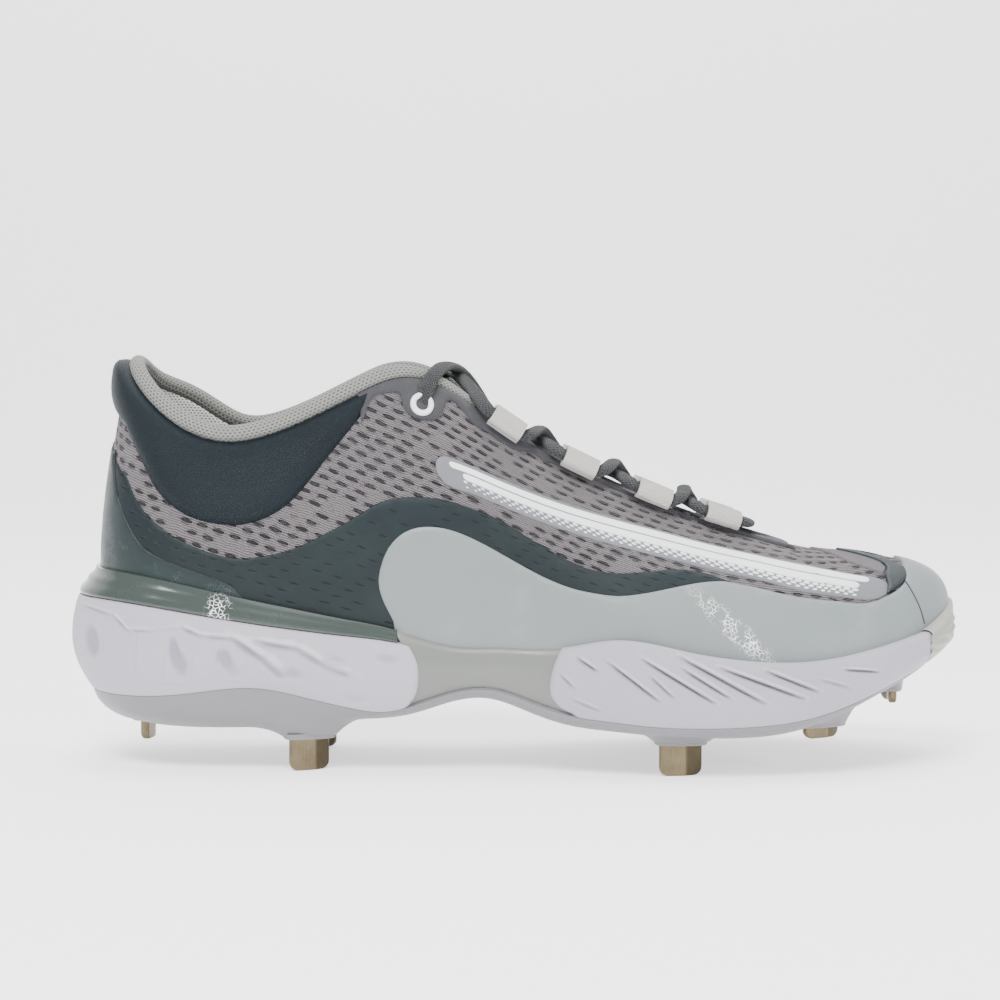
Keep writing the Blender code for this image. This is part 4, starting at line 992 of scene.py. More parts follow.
def knit():
    """The upper's mesh: fine wavy rows with staggered dark holes, sloping down toward the toe; painted shade
    lies between the rows, in the holes and round their edges, with a painted highlight on the rows' tops.
    """
    f = Finish("knit_mesh", (110, 105, 108), rough=0.85, sheen=0.15, spec=0.15)
    u, v = f.skin_mm()
    u = u.abs()
    across = u * MESH_LEAN + v
    along = u - v * MESH_LEAN
    wander = f.noise(0.14, 2.0, f.vector(u, v), seed=2.0) - 0.5
    wave = (along * (2 * math.pi / MESH_WAVE)).sin() * 0.10
    threads = across * THREADS_PER_MM
    rows = ((threads + wander * 1.5 + wave) * (2 * math.pi)).sin()
    stitch = ((along * STITCHES_PER_MM + threads.floor() * 0.5) * (2 * math.pi)).sin()
    level = across / HOLE_ROW + wander * 0.35
    row = level.floor()
    cell = along / HOLE_STEP + row * 0.5 + f.chance(row, row, 3.0) * 0.12
    column = cell.floor()
    x = (cell.fract() - 0.5) * HOLE_STEP
    y = (level.fract() - 0.5) * HOLE_ROW
    luck = f.chance(column, row, 5.0)
    size = luck * 0.28 + 0.80
    oval = reach_of(x / (size * HOLE_LONG), y / (size * HOLE_TALL))
    shown = luck.ramp(0.08, 0.12)
    hole = oval.ramp(1.10, 0.82) * shown
    rim = oval.ramp(1.9, 1.1) * shown
    pupil = oval.ramp(0.62, 0.30) * f.chance(column, row, 8.0).ramp(0.45, 0.55) * hole
    # Painted shade in the hollows between thread rows, and a painted highlight on their tops.
    f.tint(rows.ramp(-0.25, -0.95) * 0.75, (60, 56, 59))
    f.tint(rows.ramp(0.2, 1.0) * 0.40, (134, 129, 131))
    # Painted shade round each hole's edge, and the holes painted dark as the shade seen through them.
    f.tint(rim * 0.30, (80, 75, 79))
    f.tint(hole * 0.95, (17, 16, 18))
    f.tint(pupil * 0.55, (62, 60, 63))
    f.tint(f.noise(35.0, 3.0).ramp(0.35, 0.75) * 0.18, (102, 97, 101))
    f.bump(rows * 0.5 + stitch * 0.25, 0.0004, 0.9)
    f.bump(hole * -1.0 + rim * -0.3, 0.0010, 0.9)
    return f.mat


def dark_film():
    """The dark film of the quarters, with the mesh's dashes pressed through and painted shade in them."""
    f = Finish("dark_film", (33, 39, 41), rough=0.50, spec=0.12)
    u, v = f.skin_mm()
    u = u.abs()
    across = u * DASH_LEAN + v
    along = u - v * DASH_LEAN
    row = (across / DASH_ROW).floor()
    cell = along / DASH_STEP + row * 0.5
    x = (cell.fract() - 0.5) * DASH_STEP
    y = ((across / DASH_ROW).fract() - 0.5) * DASH_ROW
    dash = reach_of(x / DASH_LONG, y / DASH_TALL).ramp(1.5, 0.5)
    dash = dash * f.chance(cell.floor(), row, 2.0).ramp(0.25, 0.35)
    cloud = f.noise(28.0, 4.0, seed=3.0)
    f.tint(cloud.ramp(0.35, 0.72) * 0.5, (42, 51, 52))
    f.tint(f.noise(14.0, 2.0, seed=9.0).ramp(0.4, 0.7) * 0.35, (29, 36, 42))
    # Painted shade in the pressed dashes.
    f.tint(dash * 0.75, (19, 25, 28))
    f.tint(crackle(f, (-98.0, 58.0), (5.0, 5.0), 0.0, 6.0) * 0.9, (222, 226, 224))
    f.rough(f.noise(120.0, 3.0, seed=1.0).ramp(0.2, 0.8, 0.36, 0.52))
    f.bump(dash * -1.0, 0.0004, 0.6)
    f.bump(f.noise(900.0, 2.0), 0.00012, 0.35)
    return f.mat


def crackle(f, centre, reach, turn, seed):
    """A patch of scuffed crackle on the outer side, along a slanting line of the side view."""
    x, y, z = f.place_mm()
    c, s = math.cos(math.radians(turn)), math.sin(math.radians(turn))
    a = (x - centre[0]) * c + (z - centre[1]) * s
    b = (x - centre[0]) * -s + (z - centre[1]) * c
    zone = reach_of(a / reach[0], b / reach[1])
    broken = f.noise(220.0, 4.0, seed=seed)
    lines = f.cells(760.0).ramp(0.085, 0.035)
    return lines * (zone + broken * 1.1).ramp(1.45, 0.95) * broken.ramp(0.42, 0.52) * y.ramp(0.0, -4.0)


def light_film():
    """The light guard film, with its scuffs."""
    f = Finish("light_film", (123, 129, 128), rough=0.42, spec=0.3)
    cloud = f.noise(16.0, 4.0, seed=5.0)
    f.tint(cloud.ramp(0.35, 0.7) * 0.6, (121, 130, 131))
    f.tint(f.noise(55.0, 4.0, seed=7.0).ramp(0.55, 0.8) * 0.45, (146, 152, 150))
    f.tint(f.noise(420.0, 3.0, seed=8.0).ramp(0.68, 0.74) * 0.35, (98, 106, 107))
    marks_and_shade = crackle(f, (71.0, 49.0), (26.0, 5.0), -42.0, 2.0)
    f.tint(marks_and_shade * 0.95, (252, 253, 252))
    f.rough(f.noise(90.0, 3.0, seed=6.0).ramp(0.2, 0.8, 0.32, 0.50))
    f.bump(f.noise(260.0, 3.0, seed=4.0), 0.00018, 0.5)
    f.bump(f.noise(1100.0, 2.0), 0.0001, 0.3)
    return f.mat


def counter_film():
    """The heel counter's film, worn fine."""
    f = Finish("counter_film", (38, 47, 48), rough=0.42, spec=0.18)
    f.tint(f.noise(24.0, 4.0, seed=3.5).ramp(0.35, 0.72) * 0.6, (50, 59, 59))
    lines = f.cells(900.0).ramp(0.07, 0.02)
    f.tint(lines * f.noise(130.0, 3.0, seed=2.0).ramp(0.52, 0.66) * 0.55, (88, 96, 94))
    f.rough(f.noise(150.0, 3.0, seed=4.0).ramp(0.2, 0.8, 0.28, 0.46))
    f.bump(f.noise(700.0, 3.0), 0.00015, 0.5)
    return f.mat


def cloth(name, colour, dark, scale_u, scale_v, depth=0.0002, rough=0.85, sheen=0.1, light=None, spec=0.2):
    """A plain weave on the skin's own measures, with painted shade between its threads and slow shading."""
    f = Finish(name, colour, rough=rough, sheen=sheen, spec=spec)
    u, v = f.skin_mm()
    weave = (u * scale_u * 2 * math.pi).sin() * (v * scale_v * 2 * math.pi).sin()
    # Painted shade in the hollows between the threads.
    f.tint(weave.ramp(0.1, -0.9) * 0.45, dark)
    f.tint(f.noise(30.0, 3.0, seed=4.0).ramp(0.35, 0.75) * 0.3, dark)
    if light:
        f.tint(f.noise(420.0, 3.0, seed=2.0).ramp(0.55, 0.8) * 0.25, light)
    f.bump(weave, depth, 0.7)
    return f.mat


def knit_roll(name, colour):
    """Light knit with staggered darker dots, for the collar's roll, and in a lighter copy with painted light
    for the lining behind it.
    """
    f = Finish(name, colour, rough=0.9, sheen=0.1, spec=0.15)
    u, v = f.skin_mm()
    row = (v / ROLL_ROW).floor()
    cell = u / ROLL_STEP + row * 0.5
    x = (cell.fract() - 0.5) * ROLL_STEP
    y = ((v / ROLL_ROW).fract() - 0.5) * ROLL_ROW
    dot = reach_of(x / ROLL_LONG, y / ROLL_TALL).ramp(1.15, 0.75)
    f.tint(dot * 0.85, (58, 59, 57))
    f.tint(f.noise(60.0, 3.0).ramp(0.4, 0.75) * 0.25, (112, 113, 109))
    f.bump(dot * -1.0, 0.0004, 0.8)
    return f.mat


def ribbed():
    """Cream webbing with ribs along its length, with painted shade between the ribs and picks."""
    f = Finish("ribbed_webbing", (252, 250, 243), rough=0.85, sheen=0.1, spec=0.15)
    u, v = f.skin_mm()
    ribs = (v * WEBBING_RIBS_PER_MM * 2 * math.pi).sin()
    cross = (u * WEBBING_PICKS_PER_MM * 2 * math.pi).sin()
    # Painted shade in the hollows between the ribs and between the picks.
    f.tint(ribs.ramp(-0.2, -0.95) * 0.75, (186, 182, 170))
    f.tint(cross.ramp(0.2, -1.0) * ribs.ramp(-0.3, 0.6) * 0.18, (214, 211, 200))
    f.tint(f.noise(90.0, 3.0).ramp(0.5, 0.8) * 0.2, (222, 218, 207))
    f.bump(ribs + cross * 0.15, 0.0005, 1.0)
    return f.mat


def braid():
    """The lace's braid, with painted shade in its hollows."""
    f = Finish("braided_lace", (60, 62, 64), rough=0.85, sheen=0.12, spec=0.15)
    u, v = f.skin_mm()
    along, across = u * BRAID_ALONG_PER_MM, v * BRAID_ACROSS_PER_MM
    one = ((along + across) * 2 * math.pi).sin()
    two = ((along - across) * 2 * math.pi).sin()
    weave = one.most(two)
    # Painted shade in the braid's hollows.
    f.tint(weave.ramp(0.7, -0.2) * 0.75, (30, 32, 34))
    f.tint(f.noise(300.0, 3.0).ramp(0.5, 0.8) * 0.3, (98, 100, 101))
    f.bump(weave, 0.0004, 0.9)
    return f.mat


def foam(name, colour, shade):
    """Soft foam, with painted shade in its grooves and a painted highlight on their lips."""
    f = Finish(name, colour, rough=0.62, spec=0.25)
    f.tint(f.noise(18.0, 3.0, seed=2.0).ramp(0.35, 0.75) * 0.4, shade)
    f.tint(f.noise(600.0, 2.0, seed=3.0).ramp(0.55, 0.85) * 0.2, shade)
    f.tint(f.noise(900.0, 2.0, seed=8.0).ramp(0.735, 0.76) * 0.35, (100, 97, 100))
    # Painted shade in the foam's grooves and a painted highlight on their lips, from the groove depth stored
    # on the points.
    f.tint(f.marks_and_shade().ramp(0.15, 0.9) * 0.5, (112, 109, 124))
    f.tint(f.marks_and_shade().ramp(-0.05, -0.35) * 0.5, (206, 205, 211))
    f.bump(f.noise(1400.0, 2.0), 0.00012, 0.5)
    f.bump(f.noise(70.0, 3.0), 0.0006, 0.25)
    return f.mat


def moulded(name, colour, shade, rough=0.4, bump=0.00012):
    """Smooth plastic, rubber or print with slow shading."""
    f = Finish(name, colour, rough=rough)
    f.tint(f.noise(22.0, 3.0, seed=2.0).ramp(0.35, 0.75) * 0.45, shade)
    f.rough(f.noise(140.0, 3.0, seed=5.0).ramp(0.2, 0.8, rough * 0.8, rough * 1.25))
    f.bump(f.noise(1000.0, 2.0), bump, 0.4)
    return f.mat


def rail_finish():
    """The heel rail's gloss, scuffed at one place."""
    f = Finish("rail_gloss", (60, 68, 65), rough=0.22, coat=0.30, spec=0.3)
    f.tint(f.noise(20.0, 3.0, seed=2.0).ramp(0.35, 0.75) * 0.5, (50, 58, 55))
    f.tint(crackle(f, (-97.0, 54.0), (6.0, 8.0), 0.0, 6.0), (250, 251, 250))
    f.rough(f.noise(110.0, 3.0, seed=5.0).ramp(0.2, 0.8, 0.16, 0.30))
    f.bump(f.noise(160.0, 3.0), 0.00025, 0.35)
    return f.mat


def blade_metal():
    """Worn metal, streaked along the blade, with painted shade on one face of its bend."""
    f = Finish("worn_metal", (112, 101, 80), rough=0.26, metal=1.0)
    x, y, z = f.place_mm()
    f.tint(f.noise(120.0, 4.0, seed=2.0).ramp(0.35, 0.7) * 0.6, (82, 72, 54))
    f.tint(f.noise(30.0, 2.0, seed=4.0).ramp(0.4, 0.7) * 0.3, (140, 130, 106))
    # Painted shade on the far face of the blade's bend.
    f.tint(f.marks_and_shade() * 0.75, (52, 46, 36))
    streak = f.noise(1.0, 3.0, f.vector(x * 3.0, y * 3.0, z * 0.25), seed=1.0)
    f.rough(streak.ramp(0.2, 0.8, 0.22, 0.46))
    f.bump(streak, 0.0001, 0.4)
    return f.mat


MAT = {
    "mesh": knit(),
    "film": dark_film(),
    "counter": counter_film(),
    "guard": light_film(),
    "pad": cloth("neoprene", (18, 27, 32), (12, 19, 24), 1.3, 1.3, 0.00010, rough=0.46, sheen=0.0, spec=0.15),
    "stay": cloth("microfibre", (70, 70, 74), (52, 52, 56), 1.7, 1.7, 0.00012, sheen=0.1, light=(92, 92, 95)),
    "tongue": cloth("tongue_cloth", (60, 60, 64), (42, 42, 46), 0.9, 0.9, 0.0003, sheen=0.1),
    "insole": cloth("insole_cloth", (70, 72, 75), (52, 54, 57), 0.9, 0.9, 0.0002, sheen=0.1),
    "roll": knit_roll("knit_roll", (128, 130, 125)),
    # A lighter copy of the roll's knit: painted light that offsets the shade inside the collar.
    "inside": knit_roll("knit_lining_painted_light", (205, 207, 202)),
    "webbing": ribbed(),
    "lace": braid(),
    "print": moulded("white_print", (238, 240, 241), (226, 229, 231), 0.45),
    "border": moulded("grey_print", (108, 110, 116), (100, 102, 108), 0.5),
    "plain_mesh": cloth("plain_mesh", (112, 107, 111), (80, 76, 79), 1.0, 1.0, 0.0003, sheen=0.05),
    "patch": moulded("toe_patch", (35, 43, 46), (27, 34, 38), 0.5, bump=0.0004),
    "seam": moulded("seam_line", (52, 56, 58), (44, 48, 50), 0.7),
    "dark_seam": moulded("dark_seam_line", (22, 26, 28), (18, 22, 24), 0.7),
    "eyelet": moulded("eyelet_white", (240, 240, 238), (226, 226, 224), 0.35),
    "heel_foam": foam("heel_foam", (171, 168, 178), (160, 157, 168)),
    "fore_foam": foam("fore_foam", (162, 159, 169), (150, 147, 158)),
    "plate": moulded("plate_plastic", (118, 116, 121), (108, 107, 111), 0.42),
    "saddle": moulded("saddle_plastic", (112, 115, 111), (105, 108, 105), 0.42),
    "bumper": moulded("bumper_rubber", (147, 147, 139), (136, 137, 129), 0.5, bump=0.0003),
    "rail": rail_finish(),
    "metal": blade_metal(),
}


# The upper


def build_upper():
    stations = np.concatenate(
        (
            np.linspace(0.0, 0.12, 24, endpoint=False),
            np.linspace(0.12, 0.72, 110, endpoint=False),
            np.linspace(0.72, THROAT_END, 26, endpoint=False),
            np.linspace(THROAT_END, 1.0, 40),
        )
    )
    stations = np.concatenate((-stations[::-1], stations[1:]))
    rises = np.linspace(0.0, 1.0, 64)
    count = len(rises)
    outer = skin(stations[:, None], rises[None])
    grid_s, grid_r = np.broadcast_arrays(stations[:, None], rises[None])
    inner = lifted(grid_s, grid_r, np.full(grid_s.shape, -WALL))
    verts = np.concatenate((outer.reshape(-1, 3), inner.reshape(-1, 3)))
    uvs = np.vstack((pattern_uv(grid_s, grid_r).reshape(-1, 2),) * 2)
    faces = grid_faces(len(stations), count)
    offset = len(stations) * count
    faces += [tuple(reversed(f)) for f in grid_faces(len(stations), count, start=offset)]
    for i in range(len(stations) - 1):
        a, b = i * count, (i + 1) * count
        faces.append((a, b, offset + b, offset + a))
        if max(abs(stations[i]), abs(stations[i + 1])) <= THROAT_END + 1e-6:
            a, b = a + count - 1, b + count - 1
            faces.append((b, a, offset + a, offset + b))
    return make("upper_mesh", verts, faces, MAT["mesh"], uvs, ("upper",), weld=2e-6, angle=45)


def low_rise(s, drop=0.003):
    """The rise a little under the top of the sole's rim, rail or bumper at a station."""
    at = np.abs(wrapped(s))
    share = share_of(at)
    rim = bed_height(share) + RIM_RISE * SOLE_CURVES["rim"](share)
    climb = bumper_climb(s)
    rim = rim + BUMPER_RISE * climb * climb * (3 - 2 * climb)
    return rises_at(s, rim - drop)


def heel_wrap(line, top):
    """A loop round the heel from one side's upper line: from the front, round the back, to the front."""
    line = line[np.argsort(line[:, 0])]
    far = smooth_line(line, 4)
    mirrored = far[::-1] * (-1, 1)
    back = [(0.0, top)] if top is not None else []
    upper_line = np.array([*far, *back, *mirrored])
    bottom = np.linspace(upper_line[-1][0], upper_line[0][0], 160)
    return np.vstack((upper_line, np.stack((bottom, low_rise(bottom)), axis=-1)))


def build_layers():
    quarter = by_side(
        [p for p in QUARTER_EDGE if p[0] > -0.43 and p[1] > 0.2] + [(0.222, 0.2155), (0.243, 0.2075)]
    )
    top = rises_at([0.0], [0.36 * LENGTH])[0]
    layer(
        "quarter_film",
        heel_wrap(quarter, top),
        film_lift(*QUARTER_FILM),
        MAT["film"],
        replaces=("quarter_outer", "quarter_inner"),
    )

    counter = by_side([p for p in COUNTER_EDGE if p[1] < 0.31])
    counter = counter[np.argsort(counter[:, 0])]
    rise_top = np.array([(-0.052, by_side([(-0.444, 0.345)])[0][1])])
    line = np.vstack((counter, rise_top))
    layer(
        "heel_counter_film",
        heel_wrap(line, rises_at([0.0], [0.355 * LENGTH])[0]),
        film_lift(*COUNTER_FILM),
        MAT["counter"],
        replaces=("heel_counter",),
    )

    guard_points = [p for p in GUARD_EDGE if p[1] < 0.24 or p[0] < 0]
    guard = by_side(guard_points)
    guard = smooth_line(guard[guard[:, 1] > 0.02], 3)
    inner_side = guard * (-1, 1)
    outer_side = np.stack((2 + guard[:, 0], guard[:, 1]), axis=-1)
    upper_line = np.vstack((inner_side[::-1], outer_side))
    bottom = np.linspace(upper_line[-1][0], upper_line[0][0], 260)
    layer(
        "side_guard_film",
        np.vstack((upper_line, np.stack((bottom, low_rise(bottom)), axis=-1))),
        film_lift(*GUARD_FILM),
        MAT["guard"],
        replaces=("toe_guard",),
    )

    pad = by_side([p for p in COLLAR_PAD_EDGE if p[0] > -0.44 and p[1] < 0.44])
    pad = smooth_line(pad[np.argsort(pad[:, 0])], 4)
    back = rises_at([0.0], [0.395 * LENGTH])[0]
    lower = np.array([*pad, (0.0, back), *(pad[::-1] * (-1, 1))])
    upper_edge = np.linspace(lower[-1][0], lower[0][0], 120)
    loop = np.vstack((lower, np.stack((upper_edge, np.full(120, 0.997)), axis=-1)))

    def puffy(depth, s, r):
        """The pad's height over the skin by the distance from its edge, fuller at the heel's tab."""
        tab = np.exp(-((s / 0.12) ** 2)) * np.exp(-(((r - 0.95) / 0.09) ** 2))
        swell = PAD_SWELL * (1 - np.exp(-depth / (PAD_EDGE - PAD_TAB_EDGE * tab)))
        return -0.0002 + swell + PAD_TAB_SWELL * tab * np.clip(depth / 0.0015, 0, 1)

    def tab_shift(s, r, depth):
        """Lifts the pad's top at the heel and rolls its edge in over the wall."""
        tab = np.exp(-((s / 0.11) ** 2)) * np.clip((r - 0.84) / 0.16, 0, 1) ** 2
        edge = np.exp(-depth / PAD_ROLL_DEPTH)
        over = -skin_normal(s, r) * (PAD_ROLL * edge * tab)[:, None]
        over[:, 2] += PAD_LIFT * tab * (1 - 0.4 * edge)
        return over

    pad_piece = layer(
        "ankle_pad",
        loop,
        puffy,
        MAT["pad"],
        rings=(0.0003, 0.0008, 0.0016, 0.0028, 0.0044),
        rise=tab_shift,
        replaces=("collar_pad",),
    )


# The eyestay's scalloped lower edge, by pixels of the photograph
STAY_PIXELS = (
    (362, 424), (372, 398), (389, 393), (399, 394), (404, 409), (415, 418), (431, 421), (442, 416),
    (445, 403), (453, 402), (466, 415), (474, 425), (490, 434), (512, 449), (531, 452), (543, 461),
    (556, 465), (572, 473), (587, 479), (604, 481), (612, 487), (622, 493), (640, 499), (668, 505),
    (682, 510), (693, 517), (708, 526), (742, 535), (775, 545), (797, 551),
)


def stay_loop(side):
    """The dark edging of one side of the throat, with its scallops, running on over the vamp."""
    line = smooth_line(by_pixel(STAY_PIXELS), 3)
    low = np.array([(s, min(r, 0.985)) for s, r in line])
    top = np.linspace(low[-1][0], low[0][0], 90)
    edge = np.stack((top, np.full(90, 0.998)), axis=-1)
    return np.vstack((low, edge)) * (-side, 1)


def build_stays():
    for name, side in (("outer", 1), ("inner", -1)):
        layer(
            "eyestay_edge_" + name,
            stay_loop(side),
            film_lift(*STAY_FILM),
            MAT["stay"],
            step=0.002,
            replaces=("eyestay_" + name,),
        )


# A generic print over the forefoot: a plain band with round ends and a fade of dots along its lower edge
PRINT_LINE = ((452, 473), (500, 492), (560, 515), (620, 533), (690, 551), (760, 567), (820, 580), (866, 587))
PRINT_WIDTH = 0.0160
PRINT_DOTS = 3
PRINT_NARROW = 0.55
PRINT_FROM = 0.150
PRINT_RUN = 0.100
PRINT_STEP = 0.001
PRINT_BORDER = 0.0012
PRINT_BARS = (
    # part, offset, width, trim
    ("bar", -0.0053, 0.0046, 0.001),
    ("field", 0.0001, 0.0050, 0.005),
)

# Dots of the print, in rows below the bars: each row's dots are smaller
DOT_START = 0.0036
DOT_STEP = 0.0017
DOT_GAP = 0.0030
DOT_TRIM = 0.004
DOT_RADIUS = 0.00078
DOT_SHRINK = 0.00014
DOT_STRETCH = 1.7


def taper(line):
    """The print's share of its full width along the shoe: it widens toward the toe."""
    return PRINT_NARROW + (1 - PRINT_NARROW) * np.clip((np.abs(line[:, :1]) - PRINT_FROM) / PRINT_RUN, 0, 1)


def round_band(line, width, grow=0.0):
    """A band with round ends along a line of the plane."""
    line = even(line, 0.002, closed=False)
    left = leftward(line)
    halves = width / 2 * taper(line) + grow
    start = math.atan2(left[0][1], left[0][0])
    end = math.atan2(-left[-1][1], -left[-1][0])
    turns = np.linspace(0, math.pi, 14)[1:-1]
    cap_start = [line[0] + halves[0] * np.array((math.cos(start + a), math.sin(start + a))) for a in turns]
    cap_end = [line[-1] + halves[-1] * np.array((math.cos(end + a), math.sin(end + a))) for a in turns]
    return np.array([*(line + left * halves)[::-1], *cap_start, *(line - left * halves), *cap_end])


def unflat(flat):
    return np.stack((station_of(flat[:, 0]), flat[:, 1] / PLANE_RISE), axis=-1)


def discs(name, centres, radii, stretch, turns, lift, mat, side):
    """Small flat ovals on the skin, as one piece."""
    angles = np.arange(12) * 2 * math.pi / 12
    verts, faces, uvs = [], [], []
    for centre, radius, turn in zip(centres, radii, turns):
        c, s = math.cos(turn), math.sin(turn)
        ring = np.stack((np.cos(angles) * radius * stretch, np.sin(angles) * radius), axis=-1)
        ring = ring @ np.array(((c, s), (-s, c)))
        flat = centre + np.vstack(((0.0, 0.0), ring * 0.8, ring))
        sr = unflat(flat) * (side, 1)
        lifts = np.array([lift] * 13 + [lift - 0.00035] * 12)
        start = sum(len(v) for v in verts)
        verts.append(lifted(sr[:, 0], sr[:, 1], lifts))
        uvs.append(pattern_uv(sr[:, 0], sr[:, 1]))
        for k in range(12):
            m = (k + 1) % 12
            faces.append((start, start + 1 + k, start + 1 + m))
            faces.append((start + 1 + k, start + 13 + k, start + 13 + m, start + 1 + m))
    make(name, np.vstack(verts), faces, mat, np.vstack(uvs))


def build_print():
    line = smooth_line(flat_of(by_pixel(PRINT_LINE)), 4)

    def beside(offset, trim):
        """The band's line moved to one side and cut short at both ends."""
        steps = even(line, PRINT_STEP, closed=False)
        moved = steps + leftward(steps) * offset * taper(steps)
        count = int(trim / PRINT_STEP)
        return moved[count : len(moved) - count]

    for name, side in (("outer", 1), ("inner", -1)):

        def placed(flat, side=side):
            return unflat(flat) * (side, 1)

        layer(
            "band_base_" + name,
            placed(round_band(line, PRINT_WIDTH, PRINT_BORDER)),
            film_lift(*PRINT_BASE),
            MAT["border"],
        )
        for part, offset, width, trim in PRINT_BARS:
            layer(
                f"band_{part}_{name}",
                placed(round_band(beside(offset, trim), width)),
                film_lift(*PRINT_FILM),
                MAT["print"],
                rings=(0.00012, 0.0003),
            )
        centres, radii, turns = [], [], []
        for number in range(PRINT_DOTS):
            row = even(beside(DOT_START + DOT_STEP * number, DOT_TRIM), DOT_GAP, closed=False)[number % 2 :]
            if number % 2:
                row = (row[1:] + row[:-1]) / 2
            centres.extend(row)
            heading = np.gradient(row, axis=0)
            turns.extend(np.arctan2(heading[:, 1], heading[:, 0]))
            radii.extend((DOT_RADIUS - DOT_SHRINK * number) * taper(row)[:, 0])
        discs(
            "band_dots_" + name,
            np.array(centres),
            np.array(radii),
            DOT_STRETCH,
            np.array(turns),
            PRINT_FILM[0],
            MAT["print"],
            side,
        )


def skin_line(name, points, mat, radius=0.00028, lift=0.0):
    """A thin seam on both sides of the shoe, along pixels of the photograph."""
    flat = even(smooth_line(flat_of(by_pixel(points)), 4), 0.0012, closed=False)
    sr = unflat(flat)
    for side in (-1, 1):
        s, r = sr[:, 0] * -side, sr[:, 1]
        line = lifted(s, r, lift)
        across, up = frames(line, skin_normal(s, r))
        label = "outer" if side < 0 else "inner"
        tube(f"{name}_{label}", line, across, up, ring_of(2.0 * radius, 2.0 * radius, 8, 2.0), mat)


# Patches and seams, by pixels of the photograph
TOE_PATCH = (
    (872, 560), (883, 565), (886, 570), (884, 575), (887, 586),
    (886, 595), (902, 584), (906, 577), (904, 569),
)
LIGHT_PATCH = ((830, 554), (845, 561), (862, 567), (876, 572), (883, 574), (886, 569), (880, 563))
TOE_SEAM = ((904, 583), (912, 596), (919, 612), (922, 624))
QUARTER_SEAM = ((203, 554), (203, 560), (202, 567), (202, 573))
COUNTER_SEAM = (
    (117, 450), (116, 468), (119, 498), (124, 520), (132, 535), (144, 548),
    (152, 555), (177, 566), (200, 574), (223, 582), (240, 592),
)


def build_toe_details():
    for name, side in (("outer", 1), ("inner", -1)):
        for part, pixel_loop, mat, film in (
            ("dark", TOE_PATCH, "patch", DARK_PATCH_FILM),
            ("light", LIGHT_PATCH, "plain_mesh", LIGHT_PATCH_FILM),
        ):
            edge = by_pixel(pixel_loop)
            top = np.linspace(edge[-1][0], edge[0][0], 16)
            loop = np.vstack((edge, np.stack((top, np.full(16, 0.9985)), axis=-1)))
            lift_of = film_lift(*film)
            layer(f"toe_{part}_{name}", loop * (side, 1), lift_of, MAT[mat], step=0.0016)
    skin_line("toe_seam", TOE_SEAM, MAT["seam"], lift=0.00095)
    skin_line("quarter_seam", QUARTER_SEAM, MAT["dark_seam"], lift=0.0005, radius=0.0002)
    skin_line("counter_seam", COUNTER_SEAM, MAT["dark_seam"], lift=0.0005, radius=0.00028)


# The sole


def skirt(s, inset, height):
    """A point of the sole's side, set in from its widest plan."""
    at = np.abs(wrapped(s))
    reach = (
        SKIRT_CURVES["flare"](at) * HEEL_FLARE
        + SKIRT_CURVES["flange"](at) * SIDE_FLANGE
        + SKIRT_CURVES["wrap"](at) * TOE_WRAP
    )
    points = feather(s) + outward(s) * (reach - inset)[..., None]
    points[..., 2] = height
    return points


def heights_of(s):
    """The sole's heights at stations."""
    at = np.abs(wrapped(s))
    edge = skirt(s, SKIRT_CURVES["tuck"](at) * SIDE_TUCK, np.zeros_like(at))
    share = np.clip((edge[..., 0] - FEATHER_START) / FEATHER_LENGTH, 0.0, 1.0)
    bed = bed_height(share_of(at))
    return {
        "bed": bed,
        "rim": bed + RIM_RISE * SOLE_CURVES["rim"](share),
        "shelf": bed + RIM_RISE * SOLE_CURVES["shelf"](share),
        "foam": bed - FOAM_DEPTH * SOLE_CURVES["foam"](share),
        "plate": bed - STACK_DEPTH * SOLE_CURVES["plate"](share),
    }


def side_inset(s, level, widest=0.56):
    """How far the sole's side tucks in below its widest level and leans in above it."""
    at = np.abs(wrapped(s))
    tuck = SKIRT_CURVES["tuck"](at) * SIDE_TUCK
    lean = SKIRT_CURVES["lean"](at) * SIDE_LEAN
    low = tuck * (np.clip(widest - level, 0, 1) / widest) ** 2
    high = lean * (np.clip(level - widest, 0, 1) / (1 - widest)) ** 2
    return low + high


def station_for(x_end, height_of, side, low=0.02, high=0.999):
    """Per level, the station whose side reaches an end line of the side view, x_end by height."""
    low = np.full(len(height_of), low)
    high = np.full(len(height_of), high)
    for _ in range(26):
        middle = (low + high) / 2
        points = np.array([height_of[k](side * middle[k]) for k in range(len(middle))])
        beyond = points[:, 0] > x_end(points[:, 2])
        high = np.where(beyond, middle, high)
        low = np.where(beyond, low, middle)
    return (low + high) / 2


def end_line(column):
    rows = np.array(BLOCK_ENDS)
    line = smooth_line(np.stack((rows[:, column] * LENGTH, rows[:, 0] * HEEL_SEAT), axis=-1), 6)
    order = np.argsort(line[:, 1])
    return lambda z: np.interp(z, line[order, 1], line[order, 0])


HEEL_END, FORE_BACK, FORE_FRONT = end_line(1), end_line(2), end_line(3)


def round_over(distance, radius):
    """How far a surface drops within a radius of its edge."""
    t = np.clip(1 - distance / radius, 0.0, 1.0)
    return radius * (1 - np.sqrt(1 - t * t))


